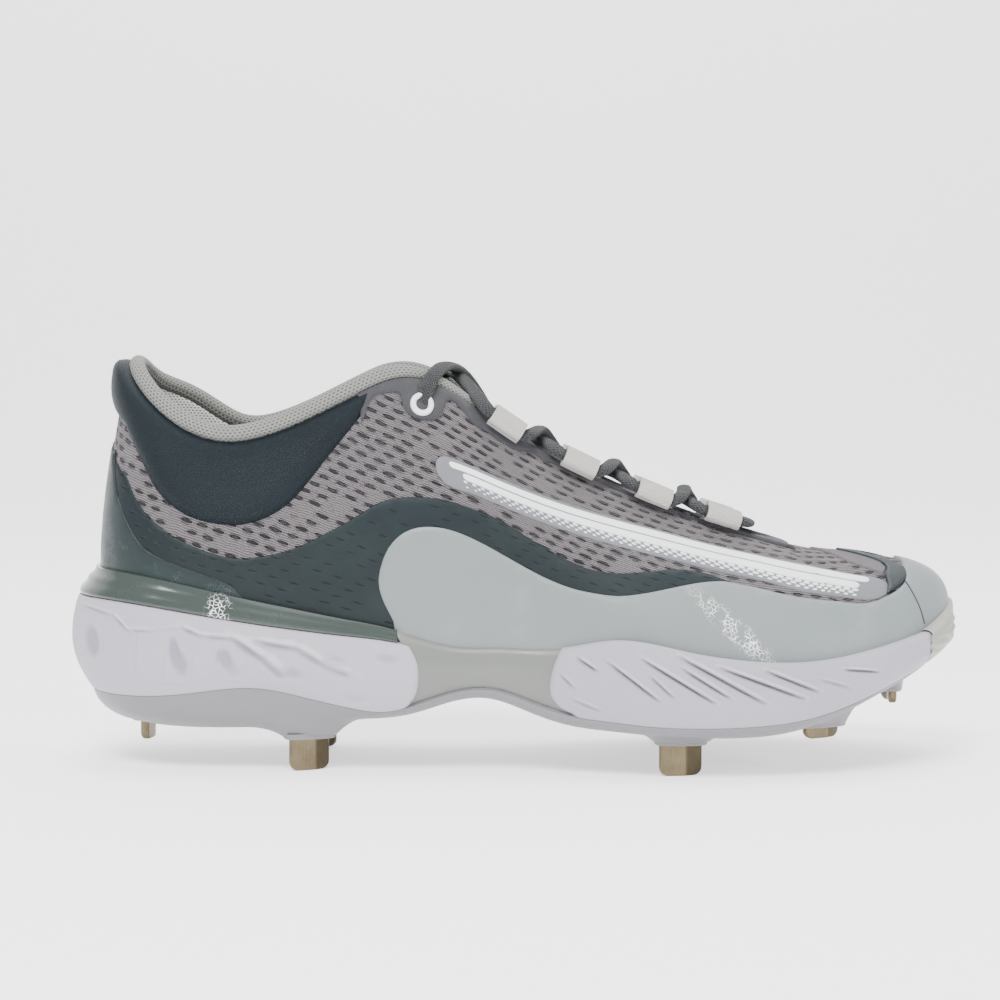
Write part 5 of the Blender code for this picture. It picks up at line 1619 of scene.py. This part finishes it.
# Grooves, folds and dents in the foam, by pixels of the photograph: two ends, then depth and half width
# in mm
FORE_GROOVES = (
    # x0, y0, x1, y1, depth, half
    (577, 658, 597, 672, 0.89, 0.48),
    (560, 675, 574, 689, 0.63, 0.48),
    (608, 663, 659, 702, 1.01, 0.51),
    (650, 677, 674, 699, 0.76, 0.48),
    (642, 660, 715, 704, 1.14, 0.55),
    (683, 670, 730, 699, 1.01, 0.51),
    (680, 658, 765, 704, 1.14, 0.58),
    (721, 669, 804, 699, 1.14, 0.55),
    (767, 672, 818, 692, 1.01, 0.51),
    (845, 670, 879, 672, 0.89, 0.42),
    (572, 700, 600, 712, 0.51, 0.58),
    (820, 680, 850, 688, 0.51, 0.51),
)
HEEL_FOLDS = (
    # x0, y0, x1, y1, depth, half
    (80, 605, 112, 616, 0.5, 0.62),
    (112, 616, 126, 631, 0.6, 0.70),
    (126, 631, 150, 632, 0.5, 0.62),
    (150, 632, 182, 629, 0.3, 0.62),
    (182, 629, 200, 637, 0.7, 0.78),
    (200, 637, 232, 640, 0.6, 0.78),
    (232, 640, 262, 660, 1.0, 1.17),
    (262, 660, 282, 678, 0.8, 1.40),
    (256, 643, 296, 650, 0.8, 1.01),
    (296, 650, 326, 668, 0.8, 1.17),
    (326, 668, 350, 677, 0.7, 1.25),
    (136, 634, 134, 668, 0.25, 0.50),
    (134, 668, 148, 684, 0.25, 0.50),
    (165, 640, 162, 684, 0.25, 0.50),
    (162, 684, 190, 686, 0.2, 0.50),
    (192, 652, 190, 684, 0.25, 0.50),
    (102, 630, 103, 662, 0.25, 0.50),
    (218, 652, 217, 680, 0.2, 0.50),
    (217, 680, 242, 684, 0.2, 0.50),
)
HEEL_DENTS = (
    # x, y, half width, half height, depth in mm
    (91, 641, 2.4, 5.6, 0.9),
    (121, 642, 2.2, 5.0, 0.25),
    (173, 650, 1.8, 4.6, 0.8),
    (180, 664, 2.8, 4.6, 0.7),
    (224, 658, 2.6, 3.4, 0.8),
    (233, 671, 3.2, 3.2, 0.4),
    (292, 674, 3.6, 2.2, 0.6),
    (334, 661, 4.0, 2.0, 0.5),
    (387, 659, 4.5, 2.0, 0.5),
    (355, 699, 4.5, 1.8, 0.35),
)


def mark_depth(points, lines, dents=()):
    """How deep the foam's marks are at points, the inner side taking the outer side's by symmetry."""
    mirrored = points * (1, -1, 1)
    seen = np.where(points[..., 1:2] > 0, mirrored, points)
    px = pixels(seen)
    depth = np.zeros(points.shape[:-1])
    for x0, y0, x1, y1, deep, half in lines:
        a, b = np.array((x0, y0), float), np.array((x1, y1), float)
        run = b - a
        t = np.clip(((px - a) @ run) / (run @ run), 0, 1)
        away = (px - a - t[..., None] * run) @ (np.array((-run[1], run[0])) / np.linalg.norm(run))
        end = np.linalg.norm(px - a - t[..., None] * run, axis=-1) * PIXEL * 1000
        off = away * PIXEL * 1000
        taper = 1 - 0.65 * np.abs(2 * t - 1) ** 3
        lip = np.exp(-(((off + half * 1.5) / (half * 1.3)) ** 2)) * (end < half * 4)
        groove = np.exp(-((end / half) ** 2)) - 0.45 * lip
        depth = depth + deep * taper * groove
    for x, y, wide, tall, deep in dents:
        dx = (px[..., 0] - x) * PIXEL * 1000 / wide
        dy = (px[..., 1] - y) * PIXEL * 1000 / tall
        depth = depth + deep * np.exp(-((dx - 0.25 * dy) ** 2 + dy**2) ** 1.4)
    return depth * MARK_STRENGTH / 1000


def foam_piece(
    name, mat, strips_of, low_of, high_of, marks_and_shade=None, replaces=(), step=0.0, round_end="both",
    columns=300, levels=80, proud=None,
):
    """The side of a sole block from one end line to another, its rim, and the flange in to the upper."""
    level = np.linspace(0.0, 1.0, levels)
    pieces = []
    shades = []
    for first, last, columns_here in strips_of(level, columns):
        t = np.linspace(0.0, 1.0, columns_here)
        s = first[None] + (last - first)[None] * t[:, None]
        lv = np.broadcast_to(level[None], s.shape)
        h = heights_of(s)
        low, high = low_of(h, s), high_of(h, s)
        z = low + (high - low) * lv
        inset = side_inset(s, lv) + step
        inset = inset + round_over((1 - lv) * (high - low), FOAM_TOP_ROUND)
        inset = inset + round_over(lv * (high - low), FOAM_LOW_ROUND)
        base = skirt(s, inset, z)
        shade = np.zeros(s.shape)
        if marks_and_shade is not None:
            sunk = marks_and_shade(base)
            inset = inset + sunk
            # The groove depth, stored for the painted shade and highlight of the foam's material.
            shade = np.clip(sunk / MARK_SHADE, -1, 1)
        if proud is not None:
            inset = inset - proud(s, lv, z)
        if round_end != "none":
            gap = np.linalg.norm(np.diff(base, axis=0), axis=-1)
            run = np.concatenate((np.zeros((1, s.shape[1])), np.cumsum(gap, axis=0)))
            from_start, to_end = run, run[-1] - run
            if round_end in ("both", "start"):
                inset = inset + round_over(from_start, FOAM_END_ROUND)
            if round_end == "both":
                inset = inset + round_over(to_end, FOAM_END_ROUND)
        points = skirt(s, inset, z)
        top_s = s[:, -1]
        at_rim = skin(top_s, rises_at(top_s, z[:, -1]))
        flange = []
        for part, drop in ((0.5, 0.0), (1.06, 0.0003), (1.10, 0.0040)):
            row = points[:, -1] + (at_rim - points[:, -1]) * part
            row[:, 2] = z[:, -1] - drop
            flange.append(row)
        under = points[:, 0] - outward(s[:, 0]) * FOAM_UNDER
        under[:, 2] = points[:, 0, 2]
        pieces.append(np.concatenate((under[:, None], points, np.stack(flange, axis=1)), axis=1))
        shades.append(np.concatenate((shade[:, :1] * 0, shade, np.zeros((len(shade), 3))), axis=1).ravel())
    verts, faces = [], []
    for grid in pieces:
        start = sum(len(v) for v in verts)
        faces += grid_faces(grid.shape[0], grid.shape[1], start=start)
        verts.append(grid.reshape(-1, 3))
    shade = np.concatenate(shades)
    make(name, np.vstack(verts), faces, mat, replaces=replaces, angle=60, marks_and_shade=shade)


def level_point(level, low_of, high_of):
    """The sole's side at one level between two heights, by station."""

    def point(s):
        s = np.array([s])
        h = heights_of(s)
        low, high = low_of(h, s), high_of(h, s)
        z = low + (high - low) * level
        return skirt(s, side_inset(s, np.array([level])), z)[0]

    return point


def build_sole():
    def low(h, _):
        return h["foam"]

    def shelf(h, _):
        return h["shelf"]

    def rim(h, _):
        return h["rim"]

    def bumper_high(h, s):
        climb = bumper_climb(s)
        return h["rim"] + BUMPER_RISE * climb**BUMPER_CURVE * (1.6 - 0.6 * climb)

    def ends(x_end, low_of, high_of, level, side, start, stop):
        spots = [level_point(lv, low_of, high_of) for lv in level]
        return station_for(x_end, spots, side, start, stop)

    def heel_ends(level, columns):
        outer = ends(HEEL_END, low, shelf, level, -1, 0.05, 0.6)
        inner = ends(HEEL_END, low, shelf, level, 1, 0.05, 0.6)
        return [(-outer, inner, columns * 2)]

    def fore_ends(level, columns):
        strips = []
        for side in (-1, 1):
            back = ends(FORE_BACK, low, rim, level, side, 0.3, 0.8)
            front = ends(FORE_FRONT, low, rim, level, side, 0.6, 0.999)
            strips.append((side * back, side * front, columns))
        return strips

    def toe_ends(level, columns):
        outer = ends(FORE_FRONT, low, bumper_high, level, -1, 0.6, 0.999)
        inner = ends(FORE_FRONT, low, bumper_high, level, 1, 0.6, 0.999)
        return [(inner - BUMPER_LAP, 2 - outer + BUMPER_LAP, columns)]

    def saddle_back(z):
        return HEEL_END(z) - SADDLE_LAP

    def saddle_front(z):
        return FORE_BACK(z) + SADDLE_LAP

    def saddle_ends(level, columns):
        strips = []
        for side in (-1, 1):
            back = ends(saddle_back, low, rim, level, side, 0.2, 0.6)
            front = ends(saddle_front, low, rim, level, side, 0.3, 0.8)
            strips.append((side * back, side * front, columns))
        return strips

    def toe_relief(s, level, z):
        """The toe rubber's bead along its top and the wavy ridges below it."""
        bead = BEAD * np.exp(-(((level - 0.93) / 0.035) ** 2))
        wave = np.sin(z * 2 * math.pi / RIDGE_PITCH + 1.3 * np.sin(s * 60) + 0.8 * np.sin(s * 137 + 1.0))
        where = np.clip((level - 0.25) / 0.15, 0, 1) * np.clip((0.82 - level) / 0.12, 0, 1)
        return RUBBER_PROUD + bead + RIDGE * wave * where

    def heel_marks(points):
        return mark_depth(points, HEEL_FOLDS, HEEL_DENTS)

    def fore_marks(points):
        return mark_depth(points, FORE_GROOVES)

    foam_piece(
        "heel_foam", MAT["heel_foam"], heel_ends, low, shelf, marks_and_shade=heel_marks, replaces=("midsole_heel",),
        columns=300,
    )
    foam_piece(
        "fore_foam", MAT["fore_foam"], fore_ends, low, rim, marks_and_shade=fore_marks, replaces=("midsole_forefoot",),
        columns=320, round_end="start",
    )
    foam_piece(
        "toe_rubber", MAT["bumper"], toe_ends, low, bumper_high, replaces=("toe_bumper",),
        columns=150, round_end="none", levels=60, proud=toe_relief,
    )
    foam_piece(
        "saddle_sides", MAT["saddle"], saddle_ends, low, rim, step=SADDLE_STEP,
        columns=80, round_end="none", levels=16,
    )


BLADE_BEND = 0.42
BLADE_STEPS = (
    # share of the thickness, level, rise from the foot
    (1.00, 1.0, 0.0),
    (1.00, 0.0, 0.0010),
    (0.93, 0.0, 0.00045),
    (0.72, 0.0, 0.0001),
    (0.40, 0.0, 0.0),
)
BOSS_STEPS = (
    # grow, rise
    (0.300, 0.0),
    (0.930, 0.0),
    (0.985, 0.0002),
    (1.000, 0.0006),
    (1.010, 0.0012),
    (1.000, 0.0020),
)
PLATE_STEPS = (
    # level, reach
    (0.00, 0.00),
    (0.04, 0.16),
    (0.12, 0.38),
    (0.24, 0.57),
    (0.40, 0.74),
    (0.62, 0.88),
    (0.82, 0.96),
    (1.00, 1.00),
)


def stud_frames():
    """Each stud's name and sizes, with its place."""
    for name, along, across, turn, foot, root, long, wide in STUDS:
        turned = Matrix.Rotation(math.radians(turn), 4, "Z")
        place = Matrix.Translation((along * LENGTH, across * BALL_WIDTH, 0.0)) @ turned
        half = BLADE_WIDTH / 2
        yield name, place, foot * STACK_DEPTH, root * STACK_DEPTH, long * half, wide * half


FOOT = np.array((BLADE_WIDTH + BLADE_THICK, 3 * BLADE_THICK)) / 2


def flared(points, share):
    """Points of the plate's underside drawn down to the studs' feet; share is how far a point gives way."""
    points = points.copy()
    for _, place, _, root, long, wide in stud_frames():
        turned = np.array(place.inverted().to_3x3())[:2, :2]
        away = np.abs((points[..., :2] - np.array(place.translation)[:2]) @ turned.T)
        x, y = away[..., 0], away[..., 1]
        outside = ((x / (long * 1.25)) ** 2.3 + (y / (wide * 1.3)) ** 2.3) ** (1 / 2.3)
        inside = ((x / FOOT[0]) ** 3 + (y / FOOT[1]) ** 3) ** (1 / 3)
        gone = np.clip(inside - 1, 0, None) * (FOOT[0] / long)
        t = gone / (gone + np.clip(1 - outside, 0, None) + 1e-9)
        drop = np.clip(points[..., 2] - (root + 0.0006), 0, None)
        points[..., 2] -= drop * (1 - t) ** 2.0 * share
    return points


def build_plate():
    stations = np.concatenate(
        (np.linspace(0.0, 0.1, 26), np.linspace(0.104, 0.9, 230), np.linspace(0.904, 1.0, 26))
    )
    rows = []
    for side in (-1, 1):
        s = side * stations
        h = heights_of(s)
        at = np.abs(s)
        tuck = SKIRT_CURVES["tuck"](at) * SIDE_TUCK
        under = SKIRT_CURVES["under"](at) * SIDE_TUCK
        top = h["foam"] + 0.0004
        column = [skirt(s, tuck + 0.0025, top + 0.0016), skirt(s, tuck + 0.0006, top)]
        for level, reach in PLATE_STEPS[::-1]:
            step = skirt(s, under + (tuck - under) * reach, h["plate"] + (h["foam"] - h["plate"]) * level)
            column.append(flared(step, (1 - level) ** 1.3))
        rows.append(np.stack(column, axis=1))
    outer, inner = rows[0], rows[1][:, ::-1]
    across = np.linspace(0, 1, 72)[1:-1][None, :, None]
    bottom = outer[:, -1:] + (inner[:, :1] - outer[:, -1:]) * across
    bottom[..., 2] = heights_of(-stations)["plate"][:, None]
    bottom = flared(bottom, 1.0)
    grid = np.concatenate((outer, bottom, inner), axis=1)
    faces = grid_faces(grid.shape[0], grid.shape[1])
    points = grid.reshape(-1, 3)
    make("sole_plate", points, faces, MAT["plate"], replaces=("outsole_plate",), angle=60)


def build_bosses_and_blades():
    count = 40
    angles = np.arange(count) * 2 * math.pi / count
    c, sn = np.cos(angles), np.sin(angles)
    power = 3.2
    oval = np.stack((np.sign(c) * np.abs(c) ** (2 / power), np.sign(sn) * np.abs(sn) ** (2 / power)), axis=-1)
    for name, place, bottom, root, _, _ in stud_frames():
        rings = []
        for grow, rise in BOSS_STEPS:
            rings.append(np.column_stack((oval * FOOT * grow, np.full(count, root + rise))))
        points = np.array([tuple(place @ Vector(p)) for p in np.vstack(rings)])
        faces = grid_faces(len(rings), count, closed_columns=True) + [tuple(range(count))]
        make("boss_" + name, points, faces, MAT["plate"], angle=50)

        half, thick = BLADE_WIDTH / 2, BLADE_THICK / 2
        lean = 1 if "outer" in name or name in ("heel_back", "toe") else -1
        x = half * np.sin(np.linspace(-math.pi / 2, math.pi / 2, 41))
        from_end = half - np.abs(x)
        corner = np.clip(BLADE_CORNER - from_end, 0, BLADE_CORNER)
        low = bottom + BLADE_CORNER - np.sqrt(np.maximum(BLADE_CORNER**2 - corner**2, 0))
        thin = np.sqrt(np.clip(1 - (1 - from_end / 0.0006).clip(0, 1) ** 2, 0.04, 1))
        bend = BLADE_BEND * (np.sqrt((x - 0.16 * half) ** 2 + 0.0007**2) + (x - 0.16 * half)) / 2
        bend = lean * (bend - bend.mean())
        rows = []
        for side, steps in ((1, BLADE_STEPS), (-1, BLADE_STEPS[::-1])):
            for wide_share, level, rise in steps:
                top = root + BLADE_SEAT
                z = np.where(level > 0, top, low + rise)
                rows.append(np.column_stack((x, bend + side * thick * wide_share * thin, z)))
        grid = np.stack(rows, axis=1)
        points = np.array([tuple(place @ Vector(p)) for p in grid.reshape(-1, 3)])
        across = grid.shape[1]
        faces = grid_faces(len(x), across, closed_columns=True) + end_caps(len(x), across)
        # The far face of the bend, for its painted shade.
        marks_and_shade = np.repeat(np.clip((x / half - 0.16) / 0.1, 0, 1), across)
        make(
            "blade_" + name, points, faces, MAT["metal"], replaces=("stud_" + name,), angle=32,
            marks_and_shade=marks_and_shade,
        )


def build_rail():
    end = math.acos(1 - 2 * (-0.127 * LENGTH - FEATHER_START) / FEATHER_LENGTH) / math.pi
    s = np.linspace(-end, end, 240)
    h = heights_of(s)
    low, high = h["shelf"] + 0.0001, h["rim"]
    foot = skirt(s, SKIRT_CURVES["lean"](np.abs(s)) * SIDE_LEAN, low)
    out = outward(s)
    steps = (
        (0.00, 0.95), (0.03, 1.00), (0.10, 1.00), (0.22, 0.93), (0.33, 0.78), (0.42, 0.62), (0.50, 0.54),
        (0.60, 0.48), (0.68, 0.36), (0.75, 0.20), (0.84, 0.10), (0.92, 0.05), (0.97, 0.03), (1.0, -0.04),
    )
    rows = []
    for level, reach in steps:
        z = low + (high - low) * level
        inner = skin(s, rises_at(s, z)) + out * (GAP + RAIL_LIP)
        width = np.maximum(((foot - inner) * out).sum(axis=1), 0.0)
        point = inner + out * (width * reach - (RAIL_LIP * 0.3 if level == 1.0 else 0.0))[:, None]
        point[:, 2] = z
        rows.append(point)
    z = high - 0.0004
    inner = skin(s, rises_at(s, z)) - out * 0.0004
    inner[:, 2] = z
    rows.append(inner)
    grid = np.stack(rows, axis=1)
    faces = grid_faces(grid.shape[0], grid.shape[1])
    faces += end_caps(grid.shape[0], grid.shape[1])
    points = grid.reshape(-1, 3)
    make("heel_rail_gloss", points, faces, MAT["rail"], replaces=("heel_rail",), angle=50)


# Collar, tongue, lace


def build_lining():
    """The knit roll on the collar's edge, running on down both edges of the throat."""
    end = 0.536
    s = np.linspace(-end, end, 340)
    edge = top_edge(s)
    runs = unit(np.gradient(edge, axis=0))
    climbs = edge - skin(s, np.full(len(s), 0.97))
    climbs = unit(climbs - runs * np.sum(climbs * runs, axis=1, keepdims=True))
    normal = skin_normal(s, np.full(len(s), 0.97))
    shrink = 1 - 0.42 * np.clip((np.abs(s) - 0.44) / 0.09, 0, 1)
    radius = LINING_RADIUS * shrink
    tab = np.exp(-((s / 0.13) ** 2))
    sink = radius * (0.92 - 0.30 * tab)
    centre = edge + climbs * sink[:, None] - normal * (WALL / 2 + 0.0022 * tab)[:, None]
    sides = np.cross(runs, climbs)
    shape = ring_of(2.0, 2.1, 26, 2.0)
    tube(
        "collar_roll", centre, sides, climbs, shape, MAT["roll"], replaces=("collar_lining",),
        scale=radius,
    )


def build_collar_inside():
    """The knit that lines the shoe inside the collar."""
    s = np.linspace(-0.5, 0.5, 200)
    r = np.linspace(0.42, 0.997, 30)
    grid_s, grid_r = np.broadcast_arrays(s[:, None], r[None])
    near = lifted(grid_s, grid_r, np.full(grid_s.shape, -(WALL + 0.00015)))
    far = lifted(grid_s, grid_r, np.full(grid_s.shape, -(WALL + 0.0009)))
    uv = pattern_uv(grid_s, grid_r)
    verts = np.vstack((near.reshape(-1, 3), far.reshape(-1, 3)))
    faces = grid_faces(*grid_s.shape)
    faces += [tuple(reversed(f)) for f in grid_faces(*grid_s.shape, start=grid_s.size)]
    count, last = len(r), (len(s) - 1) * len(r)
    for i in range(len(s) - 1):
        for k in (0, count - 1):
            a, b = i * count + k, (i + 1) * count + k
            faces.append((a, b, grid_s.size + b, grid_s.size + a))
    for k in range(count - 1):
        for start in (0, last):
            a, b = start + k, start + k + 1
            faces.append((a, b, grid_s.size + b, grid_s.size + a))
    make("collar_inside", verts, faces, MAT["inside"], np.vstack((uv.reshape(-1, 2),) * 2))


def tongue_grid(lift, stations, across=40):
    """Rows over the throat at a height over the skin, arched between its two edges."""
    rows = []
    for station in stations:
        rises = np.linspace(0.86, 0.999, 8)
        left = lifted(np.full(8, -station), rises, np.full(8, lift))
        right = lifted(np.full(8, station), rises, np.full(8, lift))
        left_lead = unit(left[-1] - left[-2])
        right_lead = unit(right[-1] - right[-2])
        span = np.linalg.norm(left[-1] - right[-1])
        crown = np.array((0.0, 0.0, span * 0.05))
        left_hold = left[-1] + left_lead * 0.004 + (right[-1] - left[-1]) * 0.22 + crown
        right_hold = right[-1] + right_lead * 0.004 + (left[-1] - right[-1]) * 0.22 + crown
        t = np.linspace(0, 1, across + 1)[1:-1, None]
        bridge = bezier(left[-1], left_hold, right_hold, right[-1], t)
        rows.append(np.vstack((left, bridge, right[::-1])))
    return np.array(rows)


def build_tongue():
    stations = np.linspace(0.452, 0.775, 70)
    outer = tongue_grid(-(WALL + 0.0006), stations)
    inner = tongue_grid(-(WALL + 0.0006 + TONGUE_THICK), stations)
    grid = np.concatenate((outer, inner[:, ::-1]), axis=1)
    run = np.broadcast_to(np.arange(len(stations))[:, None] * 0.0018, grid.shape[:2])
    ring = np.broadcast_to(np.arange(grid.shape[1])[None] * 0.0009, grid.shape[:2])
    faces = grid_faces(grid.shape[0], grid.shape[1], closed_columns=True)
    faces += end_caps(grid.shape[0], grid.shape[1])
    piece = make(
        "tongue_pad", grid.reshape(-1, 3), faces, MAT["tongue"], np.stack((run, ring), -1).reshape(-1, 2),
        ("tongue",), angle=50,
    )


def build_insole():
    at = np.linspace(0.02, 0.98, 90)
    inset = WALL + 0.0004
    outer = feather(-at) - outward(-at) * inset
    inner = feather(at) - outward(at) * inset
    t = np.linspace(0, 1, 24)
    rows = outer[:, None] + (inner - outer)[:, None] * t[None, :, None]
    dish = INSOLE_THICK + 0.0016 * np.abs(2 * t - 1) ** 4
    rows = rows + np.array((0, 0, 1)) * dish[None, :, None]
    uv = rows[..., :2]
    faces = grid_faces(rows.shape[0], rows.shape[1])
    points = rows.reshape(-1, 3)
    make("insole_cloth", points, faces, MAT["insole"], uv.reshape(-1, 2), ("insole",))


def build_loops():
    """Folded webbing over the lace, over the eyestay at the throat's edge."""
    for number, at in enumerate(LOOP_STATIONS, start=1):
        for label, side in (("outer", -1), ("inner", 1)):
            _, along, out, away = throat_frame(side * at)
            centre = loop_centre(side * at)
            room = LACE_THICK + 2 * LACE_ROOM
            outside = ring_of(LOOP_REACH, room + 2 * LOOP_WALL, 44, 2.7)
            inside = ring_of(LOOP_REACH - 2 * LOOP_WALL, room, 44, 2.5)
            half = LOOP_LENGTH / 2
            rings = []
            for x, ring in (
                (-half + 0.0002, outside * 0.97),
                (-half, outside * 0.985),
                (-half + 0.0003, outside),
                (0.0, outside * 1.012),
                (half - 0.0003, outside),
                (half, outside * 0.985),
                (half, inside),
                (0.0, inside),
                (-half, inside),
            ):
                rings.append(centre + along * x + away * ring[:, :1] + out * ring[:, 1:])
            grid = np.array(rings)
            run = run_of(outside)
            x_of = np.array((-half, -half, -half, 0, half, half, half, 0, -half))
            uv = np.stack(np.broadcast_arrays(x_of[:, None], run[None]), axis=-1)
            faces = grid_faces(len(rings), 44, closed_rows=True, closed_columns=True)
            make(
                f"loop_{label}_{number}", grid.reshape(-1, 3), faces, MAT["webbing"], uv.reshape(-1, 2),
                (f"lace_loop_{label}_{number}",), angle=50,
            )


def lace_half(side):
    """The lace from inside one eyelet, through the loops in turn, to the last loop; and its way there."""
    station, rise = by_side([(EYELET_ALONG, EYELET_HEIGHT)])[0]
    station = station * -side
    here = lifted(station, rise, -LACE_SINK)
    normal = skin_normal(station, rise)
    way = normal * LACE_OUT + np.array((LACE_FORWARD, 0.0, LACE_UP))
    points = [here - normal * LACE_INSIDE]
    for number, at in enumerate(LOOP_STATIONS):
        onto = -side if number % 2 == 0 else side
        _, along, _, _ = throat_frame(onto * at)
        centre = loop_centre(onto * at)
        over = number % 2 == (0 if side < 0 else 1)
        raise_by = np.array((0.0, 0.0, LACE_LIFT + (LACE_STEP if over else 0.0)))
        reach = along * (LOOP_LENGTH / 2 + 4 * GAP)
        back = centre - reach
        first = here + way + raise_by
        second = back - along * LACE_LEAD + raise_by
        for t in np.linspace(0.0, 1.0, 26)[:-1]:
            points.append(bezier(here, first, second, back, t))
        for t in np.linspace(0.0, 1.0, 6)[:-1]:
            points.append(back + (centre + reach - back) * t)
        here = centre + reach
        way = along * LACE_LEAD
    points.append(here)
    return points, way


def build_lace():
    outer, way = lace_half(-1)
    inner, other_way = lace_half(1)
    first = outer[-1] + way * 0.5
    second = inner[-1] + other_way * 0.5
    bar = [bezier(outer[-1], first, second, inner[-1], t) for t in np.linspace(0.0, 1.0, 24)[1:-1]]
    line = np.array([*outer, *bar, *inner[::-1]])
    run = run_of(line)
    from_eyelet = np.minimum(run, run[-1] - run)
    lean = 1.2 + 5.0 * np.exp(-((from_eyelet / 0.022) ** 2))
    hint = np.stack((np.zeros(len(line)), lean * line[:, 1] / THROAT_WIDTH, np.ones(len(line))), axis=-1)
    sides, ups = frames(line, hint)
    ring = ring_of(LACE_WIDTH * 1.04, LACE_THICK * 1.05, 18, 2.2)
    tube("lace_cord", line, sides, ups, ring, MAT["lace"], replaces=("lace",))


def build_eyelets():
    for name, side in (("outer", -1), ("inner", 1)):
        station, rise = by_side([(EYELET_ALONG, EYELET_HEIGHT)])[0]
        station = station * -side
        centre = skin(station, rise)
        normal = Vector(skin_normal(station, rise))
        place = Matrix.Translation(centre) @ normal.to_track_quat("Z", "Y").to_matrix().to_4x4()
        face = EYELET_FACE
        profile = []
        mid = (EYELET_RADIUS + EYELET_BORE) / 2
        swell = (EYELET_RADIUS - EYELET_BORE) / 2
        for k in range(15):
            a = math.pi * k / 14
            profile.append((mid + swell * math.cos(a), face + EYELET_CROWN * math.sin(a)))
        profile = [(EYELET_RADIUS, face - EYELET_SKIRT), *profile, (EYELET_BORE, -WALL / 2)]
        count = 48
        rings = []
        for k in range(count):
            a = 2 * math.pi * k / count
            rings.append([tuple(place @ Vector((r * math.cos(a), r * math.sin(a), z))) for r, z in profile])
        faces = grid_faces(count, len(profile), closed_rows=True)
        points = np.array(rings).reshape(-1, 3)
        make(
            f"eyelet_ring_{name}", points, faces, MAT["eyelet"], replaces=(f"eyelet_{name}",),
        )


# The room: a pale floor that runs up into a wall, soft light from above and in front


FLOOR_REACH = 6.0
WALL_START = 1.0
WALL_CURVE = 0.5
WALL_TOP = 3.0
FLOOR_GLOW = 0.9
ROOM_LIGHT = 0.38
LIGHTS = (
    # name, x, y, z, width, height, watts
    ("key", -0.35, -0.95, 1.25, 0.8, 0.6, 40.0),
    ("top", 0.10, 0.25, 1.40, 1.4, 1.0, 24.0),
    ("side", 1.10, -0.70, 0.55, 0.5, 0.5, 9.0),
)
LIGHT_AIM = Vector((0.0, 0.0, 0.06))


def build_floor():
    points, faces = [], []
    profile = [(-FLOOR_REACH, 0.0)]
    for k in range(13):
        a = math.pi / 2 * k / 12
        profile.append((WALL_START + WALL_CURVE * math.sin(a), WALL_CURVE - WALL_CURVE * math.cos(a)))
    profile.append((WALL_START + WALL_CURVE, WALL_TOP))
    for y, z in profile:
        points += [(-FLOOR_REACH, y, z), (FLOOR_REACH, y, z)]
    for k in range(len(profile) - 1):
        faces.append((2 * k, 2 * k + 1, 2 * k + 3, 2 * k + 2))
    mesh = bpy.data.meshes.new("floor")
    mesh.from_pydata(points, [], faces)
    mesh.shade_smooth()
    floor = bpy.data.objects.new("floor", mesh)
    bpy.context.scene.collection.objects.link(floor)
    f = Finish("pale_floor", (246, 246, 247), rough=0.9, spec=0.05)
    f.shader.inputs["Emission Color"].default_value = (1.0, 1.0, 1.0, 1.0)
    f.shader.inputs["Emission Strength"].default_value = FLOOR_GLOW
    mesh.materials.append(f.mat)


def build_lights():
    world = bpy.data.worlds.new("pale_room")
    world.use_nodes = True
    world.node_tree.nodes["Background"].inputs["Color"].default_value = (1.0, 1.0, 1.0, 1.0)
    world.node_tree.nodes["Background"].inputs["Strength"].default_value = ROOM_LIGHT
    bpy.context.scene.world = world
    for name, x, y, z, width, height, watts in LIGHTS:
        data = bpy.data.lights.new(name, "AREA")
        data.shape = "RECTANGLE"
        data.size = width
        data.size_y = height
        data.energy = watts
        lamp = bpy.data.objects.new(name, data)
        lamp.location = (x, y, z)
        lamp.rotation_euler = (LIGHT_AIM - lamp.location).to_track_quat("-Z", "Y").to_euler()
        bpy.context.scene.collection.objects.link(lamp)


def build_camera():
    data = bpy.data.cameras.new("camera")
    data.sensor_width = SENSOR
    data.lens = SENSOR * DISTANCE / (FRAME * PIXEL)
    camera = bpy.data.objects.new("camera", data)
    camera.location = Vector(TARGET - FORWARD * DISTANCE)
    camera.rotation_euler = (math.radians(90) - TILT, 0.0, 0.0)
    bpy.context.scene.collection.objects.link(camera)
    bpy.context.scene.camera = camera


build_camera()
build_floor()
build_lights()
build_upper()
build_layers()
build_stays()
build_print()
build_toe_details()
build_sole()
build_plate()
build_bosses_and_blades()
build_rail()
build_lining()
build_collar_inside()
build_tongue()
build_insole()
build_loops()
build_lace()
build_eyelets()
